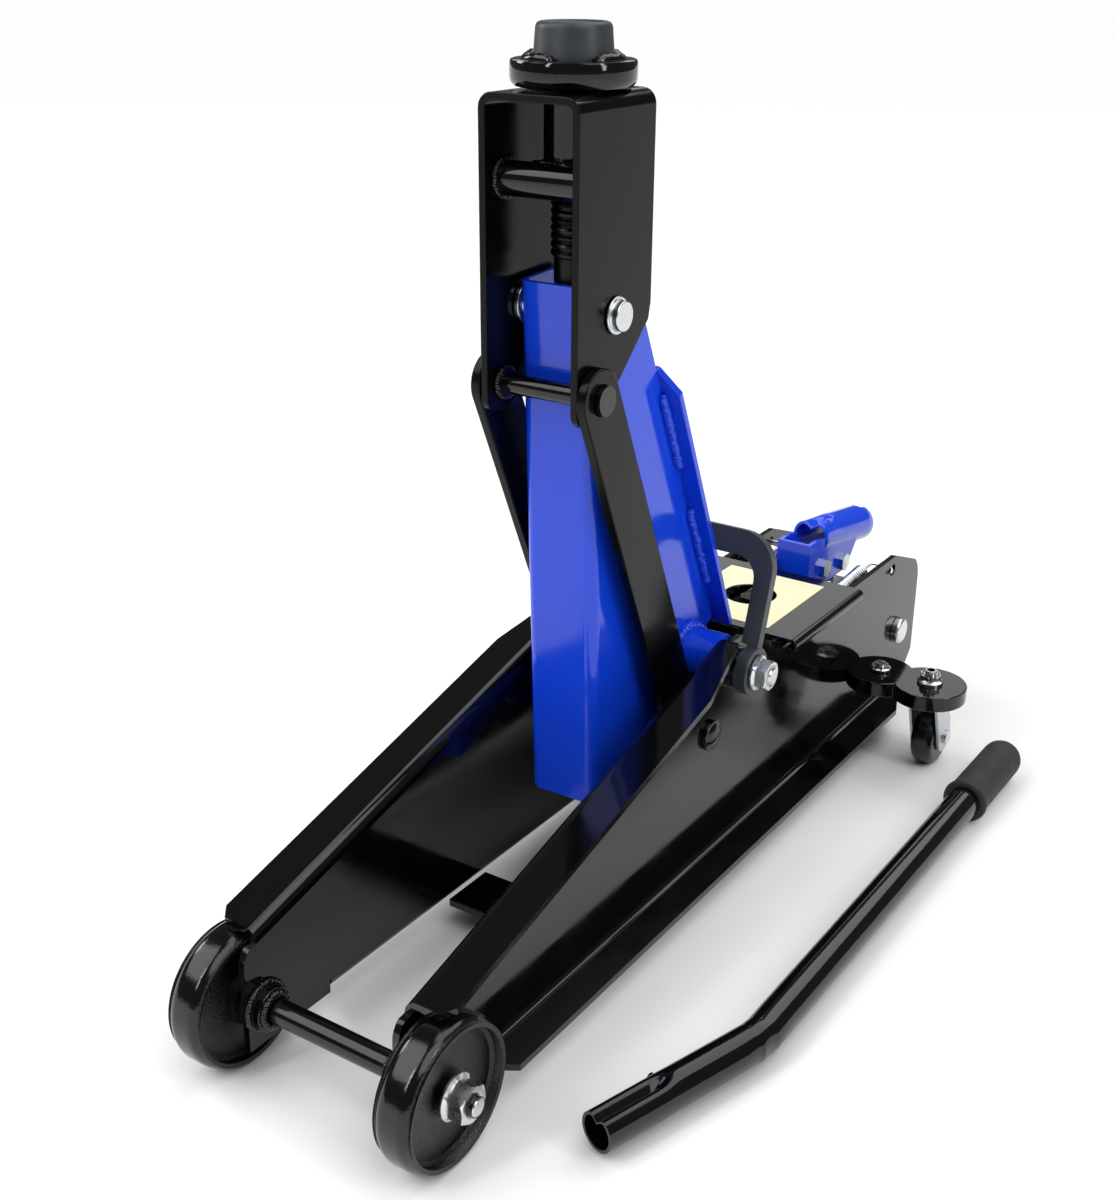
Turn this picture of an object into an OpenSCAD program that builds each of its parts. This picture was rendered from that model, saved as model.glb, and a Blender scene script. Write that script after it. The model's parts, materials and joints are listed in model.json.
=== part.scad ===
// Long-reach hydraulic trolley jack, raised, with its loose pump bar beside it.
// Inside the modules x runs across the jack from its mid-plane, y runs back from
// the front axle and z runs up from the floor. "left" is -x and "right" is +x.
// place() then moves the whole object so that its origin is the middle of its footprint.

/* [Frame] */
// Clear width between the two side plates
plate_gap = 98; // [84:1:120]
// Thickness of the side plates
plate_t = 4; // [3:0.5:6]
// Distance from the front axle back to the rear edge of the side plates
frame_len = 627; // [600:1:760]
// Width of the top and bottom flanges, beyond the face of the plate
flange_w = 23; // [14:1:26]
// Height of the underside of the frame
frame_z = 17; // [10:1:26]
// Height of the top flange above the front axle
nose_z = 88; // [80:1:92]
// Height of the deck that the cover plate lies on
deck_z = 131; // [130.5:0.5:140]

/* [Front wheels] */
// Diameter of the front wheels
wheel_d = 81; // [70:1:100]
// Width of the front wheels
wheel_w = 23; // [16:1:30]
// Diameter of the front axle
axle_d = 14; // [10:1:18]

/* [Lifting linkage] */
// Distance of the main pivot behind the front axle
pivot_y = 312; // [306:1:318]
// Height of the main pivot
pivot_z = 144; // [140:1:150]
// Length of the arm and of the link bars, pivot to pivot
arm_reach = 256; // [230:1:262]
// Angle of the raised arm above horizontal
arm_angle = 66; // [60:0.5:68]
// How far the link pivot lies in front of the main pivot
link_dy = 20.7; // [16:0.1:26]
// How far the link pivot lies below the main pivot
link_dz = 39.8; // [36:0.1:44]
// Width of the arm channel
arm_w = 46; // [40:1:48]
// Sheet thickness of the arm channel
arm_t = 3.5; // [2.5:0.5:4.5]
// Width of the link bars
link_w = 33; // [26:1:36]
// Thickness of the link bars
link_t = 5.5; // [4:0.5:7]
// Diameter of the pivot pins of the links and of the head
pin_d = 16; // [12:1:18]
// Outer diameter of the tube that the arm turns on
tube_d = 36; // [30:1:40]

/* [Lifting head] */
// Outside width of the lifting head
head_w = 60.6; // [56:0.2:64]
// Length of the lifting head, front to back
head_len = 71.5; // [64:0.5:80]
// Sheet thickness of the lifting head
head_t = 4; // [3:0.5:5]
// Height of the head's top above its pivot pin
head_rise = 110; // [106:1:120]
// Outer diameter of the lift screw's thread
screw_d = 23; // [18:0.5:24]
// Pitch of the lift screw's thread
screw_pitch = 5; // [3:0.5:8]
// Diameter of the saddle cup
saddle_d = 64.5; // [54:0.5:80]
// Height of the saddle cup
saddle_h = 14; // [12:1:18]
// Diameter of the rubber pad at its top
pad_d = 38; // [30:1:44]
// Height of the rubber pad above the saddle cup
pad_h = 17.5; // [12:0.5:26]

/* [Power unit] */
// Diameter of the lifting ram
ram_d = 26; // [20:1:28]
// Outer diameter of the reservoir tube
reservoir_d = 60; // [52:1:62]
// Length of the lever that the ram pushes
lever_r = 52; // [50:1:54]

/* [Handle socket] */
// Outer diameter of the handle socket
socket_d = 28; // [27:1:32]
// Length of the handle socket
socket_len = 88; // [70:1:110]
// Slope of the resting socket, front end high
socket_tilt = 9; // [4:1:14]

/* [Casters and carry handle] */
// Diameter of the caster wheels
caster_d = 44; // [36:1:48]
// Distance of each caster's swivel axis from the jack's mid-plane
caster_x = 112; // [106:1:124]
// Distance of the carry handle's outer edge from the mid-plane
carry_x = 72; // [70:1:80]
// Height of the carry handle above its pivot, along its legs
carry_h = 84; // [70:1:90]

/* [Pump bar] */
// Diameter of the pump bar
bar_d = 22; // [18:1:24]
// Length of the short end of the bar, up to its bend
bar_short = 113; // [90:1:140]
// Length of the long end of the bar, from its bend
bar_long = 386; // [300:1:440]
// Angle between the two ends of the bar
bar_bend = 17; // [8:1:30]
// Diameter of the bar's grip
grip_d = 28; // [26:1:34]

/* [Hidden] */
$fn = 64;

run = 0.05;                         // radial running clearance of a pin in its hole
gap = 0.5;                          // side clearance between a turning part and its neighbour
black = [0.03, 0.03, 0.035];
blue = [0.07, 0.17, 0.72];
zinc = [0.72, 0.74, 0.76];

plate_x = plate_gap / 2;            // inner face of a side plate
flange_out = flange_w + plate_t;    // outer edge of a flange, from that face
low_y0 = 52;                        // the bottom flange, front and rear ends
low_y1 = frame_len - 46;
relief = 1.5;                       // notch that frees each end of the bottom bend
face_x = plate_x + plate_t;         // outer face of a side plate
bend_r = 8;                         // outer radius of the flange bends
axle_z = wheel_d / 2;
wheel_x0 = face_x + 4;              // inner face of a front wheel
wheel_x1 = wheel_x0 + wheel_w;
nose_slope = 14.6;                  // rise of the top flange
nose_y = 12;                        // how far the plates reach in front of the axle
peak_y = pivot_y - 12;              // rear end of the top flange
peak_z = nose_z + peak_y * tan(nose_slope);
web_top = peak_z - bend_r - 0.5;    // the web behind the peak, below the flange's bend

pivot = [pivot_y, pivot_z];
link_lo = pivot - [link_dy, link_dz];
head_pin = pivot + arm_reach * [-cos(arm_angle), sin(arm_angle)];
link_hi = head_pin - [link_dy, link_dz];
axle_pin_d = 14;                    // the main axle
carry_x0 = carry_x - 8;             // inner face of the carry handle's eyes
arm_in = arm_w / 2 - arm_t;
head_in = head_w / 2 - head_t;
link_x0 = head_w / 2 + gap;
link_x1 = link_x0 + link_t;

head_y0 = head_pin[0] - head_len / 2;
head_y1 = head_pin[0] + head_len / 2;
head_top = head_pin[1] + head_rise;
saddle_y = head_pin[0] + 4.5;
screw_end = head_pin[1] + pin_d / 2 + 4;
saddle_z = head_top + 0.4;
pad_z = saddle_z + saddle_h - 4;    // floor of the saddle's recess
stem_d = 16;

unit_z = pivot_z - 46;              // axis of the ram and the reservoir
lever_half = 42;                    // half the lever's sweep, in degrees
lever_pin = pivot - lever_r * [sin(lever_half), cos(lever_half)];
roller_r = 9;
ram_nose = lever_pin[0] + roller_r + 1.8;
ram_stroke = 2 * lever_r * sin(lever_half);
cross_y = max(ram_nose + 26, link_lo[0] + link_w / 2 + 6);
cross_w = 10;
gland_y = cross_y + cross_w + ram_stroke + 4;
gland_w = 6;
tank_y0 = gland_y + gland_w;
ram_len = gland_y - ram_nose + 18;
tank_y1 = ram_nose + ram_len + ram_stroke + 6;
unit_y1 = frame_len - 27;           // rear face of the pump block
trunnion = [frame_len - 37, 66];
socket_hinge = [frame_len - 92, deck_z - 5];
plunger_r = 34;                     // socket hinge to the plunger's pin
plunger_pin = socket_hinge + plunger_r * [cos(socket_tilt), -sin(socket_tilt)];
block_top = 95;
valve_z = 47;                       // axis of the release valve
cap_at = [-20, tank_y1 + 13.5];     // x and y of the safety valve's cap
cover_y0 = 390;
cover_y1 = socket_hinge[0] - 38;
cover_t = 2;
spring_x = plate_x - 12.5;
spring_hole = [frame_len - 54, deck_z - 10];
spring_front = [cross_y + cross_w, unit_z + 8];

caster_y = frame_len - 115;
caster_plate_z = 68;                // top of the caster bracket
caster_trail = 13;
caster_r = caster_d / 2;

grip_collar = 1.5;                  // how far the grip's collar stands out
bar_z = grip_d / 2 + grip_collar;
bar_x = face_x + 112;               // the long end of the bar
bar_y = 146;                        // where the bar bends
bar_bend_r = 40;
grip_len = 78;
press_at = 0.865;                   // centre and radius of the dent in the bar's tip, in bar
press_r = 0.64;                     // diameters

x_lo = -(caster_x + 26);
x_hi = bar_x + grip_d / 2 + grip_collar;
y_lo = -wheel_d / 2;
y_hi = frame_len;

module place() {
    translate([-(x_lo + x_hi) / 2, -(y_lo + y_hi) / 2, 0]) children();
}
module both() {
    children();
    mirror([1, 0, 0]) children();
}
module hand(right) {
    mirror([right ? 0 : 1, 0, 0]) children();
}
// Round bar along x, y or z, from a to b.
module bar_along_x(a, b, d, at) {
    translate([a, at[0], at[1]]) rotate([0, 90, 0]) cylinder(h = b - a, d = d);
}
module bar_along_y(a, b, d, x, z) {
    translate([x, a, z]) rotate([-90, 0, 0]) cylinder(h = b - a, d = d);
}
module bar_along_z(a, b, d, x, y) {
    translate([x, y, a]) cylinder(h = b - a, d = d);
}
// A side view, drawn as [y, z], made solid from x = a to x = b.
module side_view(a, b) {
    translate([a, 0, 0]) rotate([90, 0, 90]) linear_extrude(b - a) children();
}
module nut(flats, h) {
    cylinder(h = h, d = flats / cos(30), $fn = 6);
}
// A shape that stands on the x = at plane and points outwards.
module facing_out(at, p) {
    translate([at, p[0], p[1]]) rotate([0, 90, 0]) children();
}
// Points along an arc of n steps, from angle a0 to a1 about c.
function arc(c, r, a0, a1, n = 8) =
    [for (i = [0:n]) let (a = a0 + (a1 - a0) * i / n) c + r * [cos(a), sin(a)]];

// Cross-section of a sheet folded into a U: open along +y, outside corners of radius r.
module u_section(w, depth, t, r) {
    h = w / 2;
    difference() {
        polygon(concat([[h, depth], [-h, depth]],
            arc([-h + r, r], r, 180, 270), arc([h - r, r], r, 270, 360)));
        polygon(concat([[h - t, depth + 1]], [[-h + t, depth + 1]],
            arc([-h + r, r], r - t, 180, 270), arc([h - r, r], r - t, 270, 360)));
    }
}
// ---- Frame ----
top_y0 = -2;
flange_run = (peak_y - top_y0) / cos(nose_slope);
// Section of a flange with a strip of the web below it: [out from the web's inner face, up].
// With no strip, its bend ends in a step too small to see, so that it joins the web cleanly.
module flange_section(strip) {
    inner_r = bend_r - plate_t - (strip > 0 ? 0 : 0.1);
    inner_end = strip > 0 ? [[plate_t, -bend_r - strip], [0, -bend_r - strip]] : [];
    polygon(concat(arc([bend_r, -bend_r], bend_r, 180, 90), [[flange_out, 0], [flange_out, -plate_t]],
        arc([bend_r, -bend_r], inner_r, 90, 180), inner_end));
}
module flange_blank(strip, length) {
    rotate([90, 0, 0]) mirror([0, 0, 1]) linear_extrude(length) flange_section(strip);
}
// What the shears take off a flange's two outer corners; each cut is [in from the edge, along it].
module flange_cuts(length, front, rear) {
    translate([0, 0, -plate_t - 1]) linear_extrude(plate_t + 2) {
        polygon([[flange_out - front[0], -1], [flange_out + 1, -1], [flange_out + 1, front[1]]]);
        polygon([[flange_out + 1, length - rear[1]], [flange_out + 1, length + 1],
            [flange_out - rear[0], length + 1]]);
    }
}
module plate_outline() {
    s = nose_slope;
    nose_arc = arc([-nose_y + 14, nose_z - 20], 14, 130, 180);
    polygon(concat(
        [[-nose_y, frame_z], [low_y0 - relief, frame_z], [low_y0 - relief, frame_z + bend_r]],
        [[low_y1 + relief, frame_z + bend_r], [low_y1 + relief, frame_z]],
        [[frame_len - 19, frame_z], [frame_len, frame_z + 20]],
        [[frame_len, deck_z - 40]],
        arc([frame_len - 24, deck_z - 34], 24, 10, 50),
        [[frame_len - 50, deck_z], [cover_y0 - 4, deck_z], [pivot_y + 16, web_top], [peak_y, web_top]],
        [[peak_y, peak_z + 1], [top_y0, nose_z + top_y0 * tan(s) + 1]],
        [[top_y0, nose_z + top_y0 * tan(s) - bend_r / cos(s)]],
        nose_arc));
}
// The web and its top flange are one folded sheet, cut to the outline of the side.
module side_plate() {
    reach = frame_len / cos(nose_slope);
    difference() {
        union() {
            intersection() {
                side_view(plate_x - 1, plate_x + flange_out + 1) plate_outline();
                translate([plate_x, 0, nose_z]) rotate([nose_slope, 0, 0]) translate([0, -80, 0])
                    flange_blank(2 * frame_len, reach + 100);
            }
            translate([plate_x, low_y0, frame_z]) mirror([0, 0, 1]) flange_blank(0, low_y1 - low_y0);
        }
        translate([plate_x, top_y0, nose_z + top_y0 * tan(nose_slope)]) rotate([nose_slope, 0, 0])
            flange_cuts(flange_run, [6, 8], [11, 60]);
        translate([plate_x, low_y0, frame_z]) mirror([0, 0, 1])
            flange_cuts(low_y1 - low_y0, [8, 5], [13, 36]);
        for (h = [[[0, axle_z], axle_d + 2 * run], [pivot, axle_pin_d + 2 * run], [link_lo, pin_d + 2 * run],
                  [trunnion, 12 + 2 * run], [spring_hole, 9]])
            bar_along_x(plate_x - 1, face_x + 1, h[1], h[0]);
    }
}
module side_plate_left() { color(black) place() hand(false) side_plate(); }
module side_plate_right() { color(black) place() hand(true) side_plate(); }
module front_tie_plate() {
    color(black) place() translate([-plate_x, 158, frame_z - 3]) cube([plate_gap, 37, 5]);
}
module rear_tie_plate() {
    color(black) place() translate([-plate_x, frame_len - 60, frame_z - 3]) cube([plate_gap, 30, 5]);
}
module front_axle() {
    color(black) place() {
        bar_along_x(-wheel_x1 - 2, wheel_x1 + 2, axle_d, [0, axle_z]);
        both() bar_along_x(wheel_x1 + 2, wheel_x1 + 11, axle_d - 3, [0, axle_z]);
    }
}
module axle_collars() {
    color(black) place() both() {
        difference() {
            union() {
                bar_along_x(plate_x - 8, plate_x, 25, [0, axle_z]);
                bar_along_x(face_x, wheel_x0 - gap, 22, [0, axle_z]);
            }
            bar_along_x(plate_x - 9, wheel_x0, axle_d + 2 * run, [0, axle_z]);
        }
    }
}
module flange_nut(flange_d, flats, h, hole) {
    difference() {
        union() {
            cylinder(h = 2, d = flange_d);
            translate([0, 0, 2]) cylinder(h = 1.5, d1 = flange_d, d2 = flats);
            nut(flats, h);
        }
        translate([0, 0, -1]) cylinder(h = h + 2, d = hole);
    }
}
module axle_nuts() {
    color(zinc) place() both() facing_out(wheel_x1 - 3.5, [0, axle_z])
        difference() {
            flange_nut(25, 19, 12, axle_d - 3 + 2 * run);
            translate([0, 0, -1]) cylinder(h = 6.5, d = axle_d + 2 * run);
        }
}
module front_wheel() {
    r = wheel_d / 2;
    rim = 4;
    dish = 5;
    bore = axle_d / 2 + run;
    translate([0, 0, axle_z]) rotate([0, 90, 0]) rotate_extrude() polygon(concat(
        [[bore, wheel_x0], [14, wheel_x0], [15, wheel_x0 + dish], [r - rim - 4, wheel_x0 + dish],
         [r - rim - 2, wheel_x0]],
        arc([r - 5, wheel_x0 + 5], 5, 270, 360, 6),
        arc([r - 8, wheel_x1 - 8], 8, 0, 62, 6),
        [[r - rim - 1, wheel_x1], [r - rim - 3, wheel_x1 - dish], [15, wheel_x1 - dish]],
        [[bore, wheel_x1 - dish]]));
}
module front_wheel_left() { color(black) place() hand(false) front_wheel(); }
module front_wheel_right() { color(black) place() hand(true) front_wheel(); }
module main_axle() {
    color(zinc) place() bar_along_x(-carry_x - 13, carry_x + 13, axle_pin_d, pivot);
}
module pivot_bosses() {
    color(black) place() both() difference() {
        bar_along_x(face_x, carry_x0 - gap, 27, pivot);
        bar_along_x(face_x - 1, carry_x0, axle_pin_d + 2 * run, pivot);
    }
}
module main_axle_nuts() {
    color(zinc) place() both() facing_out(carry_x + gap, pivot) flange_nut(22, 17, 10, axle_pin_d + 2 * run);
}
module link_pivot_pins() {
    color(black) place() both() {
        bar_along_x(link_x0 - 1, face_x, pin_d, link_lo);
        facing_out(face_x, link_lo) rotate_extrude() polygon(concat([[0, 0], [10, 0], [10, 3]],
            arc([0, -9], 14.9, 53, 86, 6), [[0, 5.9]]));
        difference() {
            bar_along_x(link_x1 + gap, plate_x, pin_d + 9, link_lo);
            bar_along_x(link_x1, plate_x + 1, pin_d - 1, link_lo);
        }
    }
}
// A rounded arch, open at the bottom: half width w, height h, corner radius r.
module arch(w, h, r, foot) {
    polygon(concat([[-w, foot], [w, foot]],
        arc([w - r, h - r], r, 0, 90), arc([-w + r, h - r], r, 90, 180)));
}
module carry_handle() {
    lean = 17.5;
    leg = 12;
    thick = 7;
    top = 16;
    corner = 24;
    color([0.11, 0.12, 0.14]) place() {
        both() difference() {
            bar_along_x(carry_x0, carry_x, 30, pivot);
            bar_along_x(carry_x0 - 1, carry_x + 1, axle_pin_d + 2 * run, pivot);
        }
        translate([0, pivot_y, pivot_z]) rotate([-lean, 0, 0]) rotate([90, 0, 0])
            translate([0, 0, -thick / 2]) linear_extrude(thick) difference() {
                arch(carry_x - 0.5, carry_h, corner, 12);
                union() {
                    arch(carry_x - leg, carry_h - top, corner - leg + 2, 10);
                    translate([-carry_x0 - gap, 0]) square([2 * (carry_x0 + gap), 16]);
                }
            }
    }
}
// Each long edge of the cover is curled outwards and down, over the edge of a side plate.
module cover_section() {
    curl = 4.5;
    c = [face_x + gap + curl, deck_z + cover_t - curl];
    edge = concat(arc(c, curl, 90, -150, 14), arc(c, curl - cover_t, -150, 90, 14));
    polygon(concat(edge, [for (i = [len(edge) - 1:-1:0]) [-edge[i][0], edge[i][1]]]));
}
module cover_plate() {
    color(black) place() difference() {
        translate([0, cover_y1, 0]) rotate([90, 0, 0]) linear_extrude(cover_y1 - cover_y0) cover_section();
        bar_along_z(deck_z - 1, deck_z + cover_t + 1, 36, 0, (cover_y0 + cover_y1) / 2);
    }
}
module cover_label() {
    color([0.95, 0.94, 0.78]) place() difference() {
        translate([-37, cover_y0 + 8, deck_z + cover_t]) cube([74, cover_y1 - cover_y0 - 20, 0.4]);
        bar_along_z(deck_z, deck_z + 5, 37, 0, (cover_y0 + cover_y1) / 2);
    }
}

// ---- Power unit ----
module pump_block() {
    w = 30;
    color([0.16, 0.16, 0.17]) place() difference() {
        union() {
            bar_along_y(tank_y1, tank_y1 + 6, reservoir_d + 3, 0, unit_z);
            translate([-w, tank_y1, frame_z + 21])
                cube([2 * w, unit_y1 - tank_y1, block_top - frame_z - 21]);
            both() bar_along_x(w, plate_x, 30, trunnion);
            side_view(-8.5, 8.5) {
                translate(socket_hinge) circle(r = 7);
                translate([socket_hinge[0] - 7, block_top - 1])
                    square([14, socket_hinge[1] - block_top + 1]);
            }
        }
        bar_along_x(-20, 20, 8 + 2 * run, socket_hinge);
        both() bar_along_x(w - 12, plate_x + 1, 12 + 2 * run, trunnion);
        bar_along_z(block_top - 38, block_top + 1, 12 + 2 * run, 0, plunger_pin[0]);
        bar_along_y(unit_y1 - 28, unit_y1 + 1, 12 + 2 * run, 0, valve_z);
        bar_along_z(block_top - 12, block_top + 1, 10 + 2 * run, cap_at[0], cap_at[1]);
    }
}
module trunnion_bolts() {
    color(zinc) place() both() {
        bar_along_x(20, face_x, 12, trunnion);
        facing_out(face_x, trunnion) rotate_extrude() polygon(concat([[0, 0], [10, 0]],
            arc([7, 3.5], 3, 0, 90, 4), [[0, 6.5]]));
    }
}
module cylinder_tube(a, b, d_out, d_in) {
    difference() {
        bar_along_y(a, b, d_out, 0, unit_z);
        bar_along_y(a - 1, b + 1, d_in, 0, unit_z);
    }
}
module cylinder_node() {
    color([0.35, 0.36, 0.38]) place() cylinder_tube(tank_y0, tank_y1, ram_d + 12, ram_d + 6);
}
module reservoir() {
    color(black) place() difference() {
        cylinder_tube(tank_y0 + 6, tank_y1, reservoir_d, reservoir_d - 5);
        bar_along_z(unit_z, unit_z + reservoir_d, 9 + 2 * run, 0, (cover_y0 + cover_y1) / 2);
    }
}
module gland_nut() {
    color(black) place() {
        cylinder_tube(tank_y0, tank_y0 + 6, reservoir_d, ram_d + 12);
        difference() {
            translate([0, gland_y, unit_z]) rotate([-90, 0, 0]) nut(ram_d + 12, gland_w);
            bar_along_y(gland_y - 1, tank_y0 + 1, ram_d + 2 * run, 0, unit_z);
        }
    }
}
module filler_plug() {
    y = (cover_y0 + cover_y1) / 2;
    z = unit_z + reservoir_d / 2;
    color([0.15, 0.15, 0.16]) place() {
        bar_along_z(z - 6, z, 9, 0, y);
        translate([0, y, z]) nut(13, 4);
    }
}
module safety_cap() {
    color([0.75, 0.08, 0.06]) place() {
        bar_along_z(block_top - 12, deck_z + 3, 10, cap_at[0], cap_at[1]);
        bar_along_z(deck_z + 3, deck_z + 7, 12, cap_at[0], cap_at[1]);
    }
}
module ram() {
    color(zinc) place() bar_along_y(ram_nose, ram_nose + ram_len - 8, ram_d, 0, unit_z);
}
module ram_seal() {
    end = ram_nose + ram_len;
    color([0.05, 0.05, 0.05]) place() bar_along_y(end - 8, end, ram_d + 6 - 2 * run, 0, unit_z);
}
module ram_crosshead() {
    color(black) place() difference() {
        union() {
            bar_along_y(cross_y, cross_y + cross_w, ram_d + 10, 0, unit_z);
            translate([-spring_x - 3, cross_y, unit_z - 6]) cube([2 * spring_x + 6, cross_w, 12]);
            both() translate([spring_x - 3, cross_y, unit_z - 6]) cube([6, cross_w, 20]);
        }
        bar_along_y(cross_y - 1, cross_y + cross_w + 1, ram_d + 2 * run, 0, unit_z);
    }
}
// The springs run along y and rise to the rear hole, where a hook goes through the plate.
module return_spring() {
    a = spring_front;
    b = spring_hole + [-3, 0];
    run_len = norm(b - a);
    rise = atan2(b[1] - a[1], b[0] - a[0]);
    translate([spring_x, a[0], a[1]]) rotate([rise, 0, 0]) rotate([-90, 0, 0]) {
        translate([0, 0, 0.3]) cylinder(h = run_len - 0.3, d = 2.4);
        translate([0, 0, 24]) cylinder(h = run_len - 42, d = 11);
    }
    bar_along_x(spring_x - 1, face_x + 2, 2.4, b);
}
module return_spring_left() { color(zinc) place() hand(false) return_spring(); }
module return_spring_right() { color(zinc) place() hand(true) return_spring(); }
module release_valve() {
    color(zinc) place() difference() {
        union() {
            bar_along_y(unit_y1 - 26, unit_y1 + 14, 12, 0, valve_z);
            bar_along_y(unit_y1 + 4, unit_y1 + 8, 18, 0, valve_z);
        }
        translate([-1.5, unit_y1 + 9, valve_z - 10]) cube([3, 8, 20]);
    }
}
module pump_plunger() {
    cap = plunger_pin[1] - 6 - 0.8;
    color(zinc) place() {
        bar_along_z(block_top - 30, cap - 3, 12, 0, plunger_pin[0]);
        bar_along_z(cap - 3, cap, 17, 0, plunger_pin[0]);
    }
}
module pump_spring() {
    cap = plunger_pin[1] - 6 - 0.8;
    color(zinc) place() difference() {
        bar_along_z(block_top + run, cap - 3 - run, 17, 0, plunger_pin[0]);
        bar_along_z(block_top - 1, cap, 13.2, 0, plunger_pin[0]);
    }
}

// ---- Handle socket ----
socket_front = [socket_hinge[0] + 2, deck_z + 16.5];
module along_socket() {
    translate([0, socket_front[0], socket_front[1]]) rotate([-socket_tilt - 90, 0, 0]) children();
}
// The top is pressed flat at the front end; the notch at the rear takes the bar's stub pin.
module socket_tube() {
    pressed = 1.6;
    color(blue) place() along_socket() difference() {
        cylinder(h = socket_len, d = socket_d);
        translate([0, 0, -1]) cylinder(h = socket_len + 2, d = bar_d + 1);
        translate([-3.5, -socket_d, socket_len - 7]) cube([7, socket_d, 9]);
        translate([-socket_d, -socket_d / 2 - 9 + pressed, -1]) cube([2 * socket_d, 9, 23]);
    }
}
module socket_bracket() {
    f = socket_hinge[0] - 25;
    top = deck_z + 20;
    half = 13;
    color(blue) place() difference() {
        union() {
            both() side_view(half - 3, half) polygon([[f, deck_z - 9], [f, top], [f + 14, top],
                [f + 84, top - 14], [f + 84, top - 22], [f + 68, deck_z - 19], [f + 20, deck_z - 19]]);
            translate([-half + 3, f, deck_z - 9]) cube([2 * half - 6, 3, top - deck_z + 9]);
        }
        along_socket() translate([0, 0, -1]) cylinder(h = socket_len + 20, d = socket_d);
        bar_along_x(-20, 20, 8 + 2 * run, socket_hinge);
        bar_along_x(-20, 20, 8 + 2 * run, plunger_pin);
    }
}
module socket_pins() {
    color(zinc) place() for (p = [socket_hinge, plunger_pin]) {
        bar_along_x(-16, 16, 8, p);
        both() facing_out(13, p) nut(12, 4);
    }
    color(zinc) place() bar_along_x(-9.2, 9.2, 12, plunger_pin);
}

// ---- Lifting arm ----
arm_top = head_pin[1] + 15;
arm_front = [[head_pin[0] - 12.5, arm_top - 1], [pivot_y - 105, pivot_z - 60]];
arm_rear = [[head_pin[0] + 30, arm_top + 1], [pivot_y + 33, pivot_z + 14]];
rear_dir = (arm_rear[1] - arm_rear[0]) / norm(arm_rear[1] - arm_rear[0]);
module arm_side() {
    polygon([arm_front[0], arm_rear[0], arm_rear[1], arm_front[1]]);
}
module arm_channel() {
    tilt = atan2(arm_front[1][0] - arm_front[0][0], arm_front[0][1] - arm_front[1][1]);
    w = arm_w / 2;
    color(blue) place() difference() {
        intersection() {
            translate([0, arm_front[1][0], arm_front[1][1]]) rotate([tilt, 0, 0]) translate([0, 0, -20])
                linear_extrude(arm_top) u_section(arm_w, 250, arm_t, 7);
            side_view(-w - 1, w + 1) arm_side();
        }
        bar_along_x(-w - 1, w + 1, tube_d, pivot);
        bar_along_x(-w - 1, w + 1, pin_d, head_pin);
    }
}
module arm_back_plate() {
    wide = 34.5;
    narrow = arm_w / 2;
    start = 64;
    len = norm(arm_rear[1] - arm_rear[0]) - start + 6;
    lean = atan2(rear_dir[0], -rear_dir[1]);
    color(blue) place() translate([0, arm_rear[0][0], arm_rear[0][1]]) rotate([lean, 0, 0])
        rotate([-90, 0, 0]) linear_extrude(4)
            polygon([[-narrow, start], [narrow, start], [wide, start + 16], [wide, start + len],
                [-wide, start + len], [-wide, start + 16]]);
}
module arm_pivot_tube() {
    color(blue) place() difference() {
        bar_along_x(-plate_x + gap, plate_x - gap, tube_d, pivot);
        bar_along_x(-plate_x, plate_x, axle_pin_d + 2 * run, pivot);
    }
}
module arm_levers() {
    t = 4.5;
    color(blue) place() both() side_view(arm_in - t, arm_in - 0.02) difference() {
        union() {
            translate(pivot) circle(r = tube_d / 2 + 5);
            translate(lever_pin) circle(r = 11);
            translate(pivot) rotate(-90 - lever_half) translate([0, -13]) square([lever_r, 26]);
        }
        translate(pivot) circle(d = tube_d + 0.04);
        translate(lever_pin) circle(d = 10);
    }
}
module lever_roller() {
    t = 4.5;
    color(zinc) place() {
        bar_along_x(-arm_in + 0.05, arm_in - 0.05, 10, lever_pin);
        bar_along_x(-arm_in + t + gap, arm_in - t - gap, 2 * roller_r, lever_pin);
    }
}
module head_pivot_pin() {
    color(zinc) place() {
        bar_along_x(-head_w / 2 - 6, head_w / 2 + 6, pin_d, head_pin);
        both() bar_along_x(arm_w / 2, head_in - gap, pin_d + 8, head_pin);
        both() bar_along_x(head_w / 2 + gap, head_w / 2 + gap + 1.5, pin_d + 4, head_pin);
    }
}
module link_bars() {
    color(black) place() both() side_view(link_x0, link_x1) difference() {
        union() {
            translate(link_lo) circle(d = link_w);
            translate(link_hi) circle(d = link_w);
            translate(link_lo) rotate(180 - arm_angle) translate([0, -link_w / 2])
                square([arm_reach, link_w]);
        }
        translate(link_lo) circle(d = pin_d + 2 * run);
        translate(link_hi) circle(d = pin_d + 2 * run);
    }
}

// ---- Lifting head ----
module lift_head() {
    low = link_hi[1] - 14;
    color(black) place() difference() {
        intersection() {
            translate([0, head_y1, head_top]) rotate([90, 0, 0]) mirror([0, 1]) linear_extrude(head_len)
                u_section(head_w, head_top, head_t, 8);
            side_view(-head_w, head_w) polygon(concat(
                [[head_y0, head_top + 1], [head_y0, low + 8]],
                arc([head_y0 + 8, low + 8], 8, 180, 260, 5),
                arc([link_hi[0], link_hi[1]], link_w / 2 - 1, 285, 325, 5),
                [[head_y1 - 2, head_pin[1] - 8]],
                arc([head_y1 - 12, head_pin[1] + 2], 12, -20, 0, 3),
                [[head_y1, head_top + 1]]));
        }
        bar_along_x(-head_w, head_w, pin_d + 2 * run, head_pin);
        bar_along_x(-head_w, head_w, pin_d, link_hi);
        bar_along_z(head_top - 10, head_top + 5, screw_d + 2, 0, saddle_y);
    }
}
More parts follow.
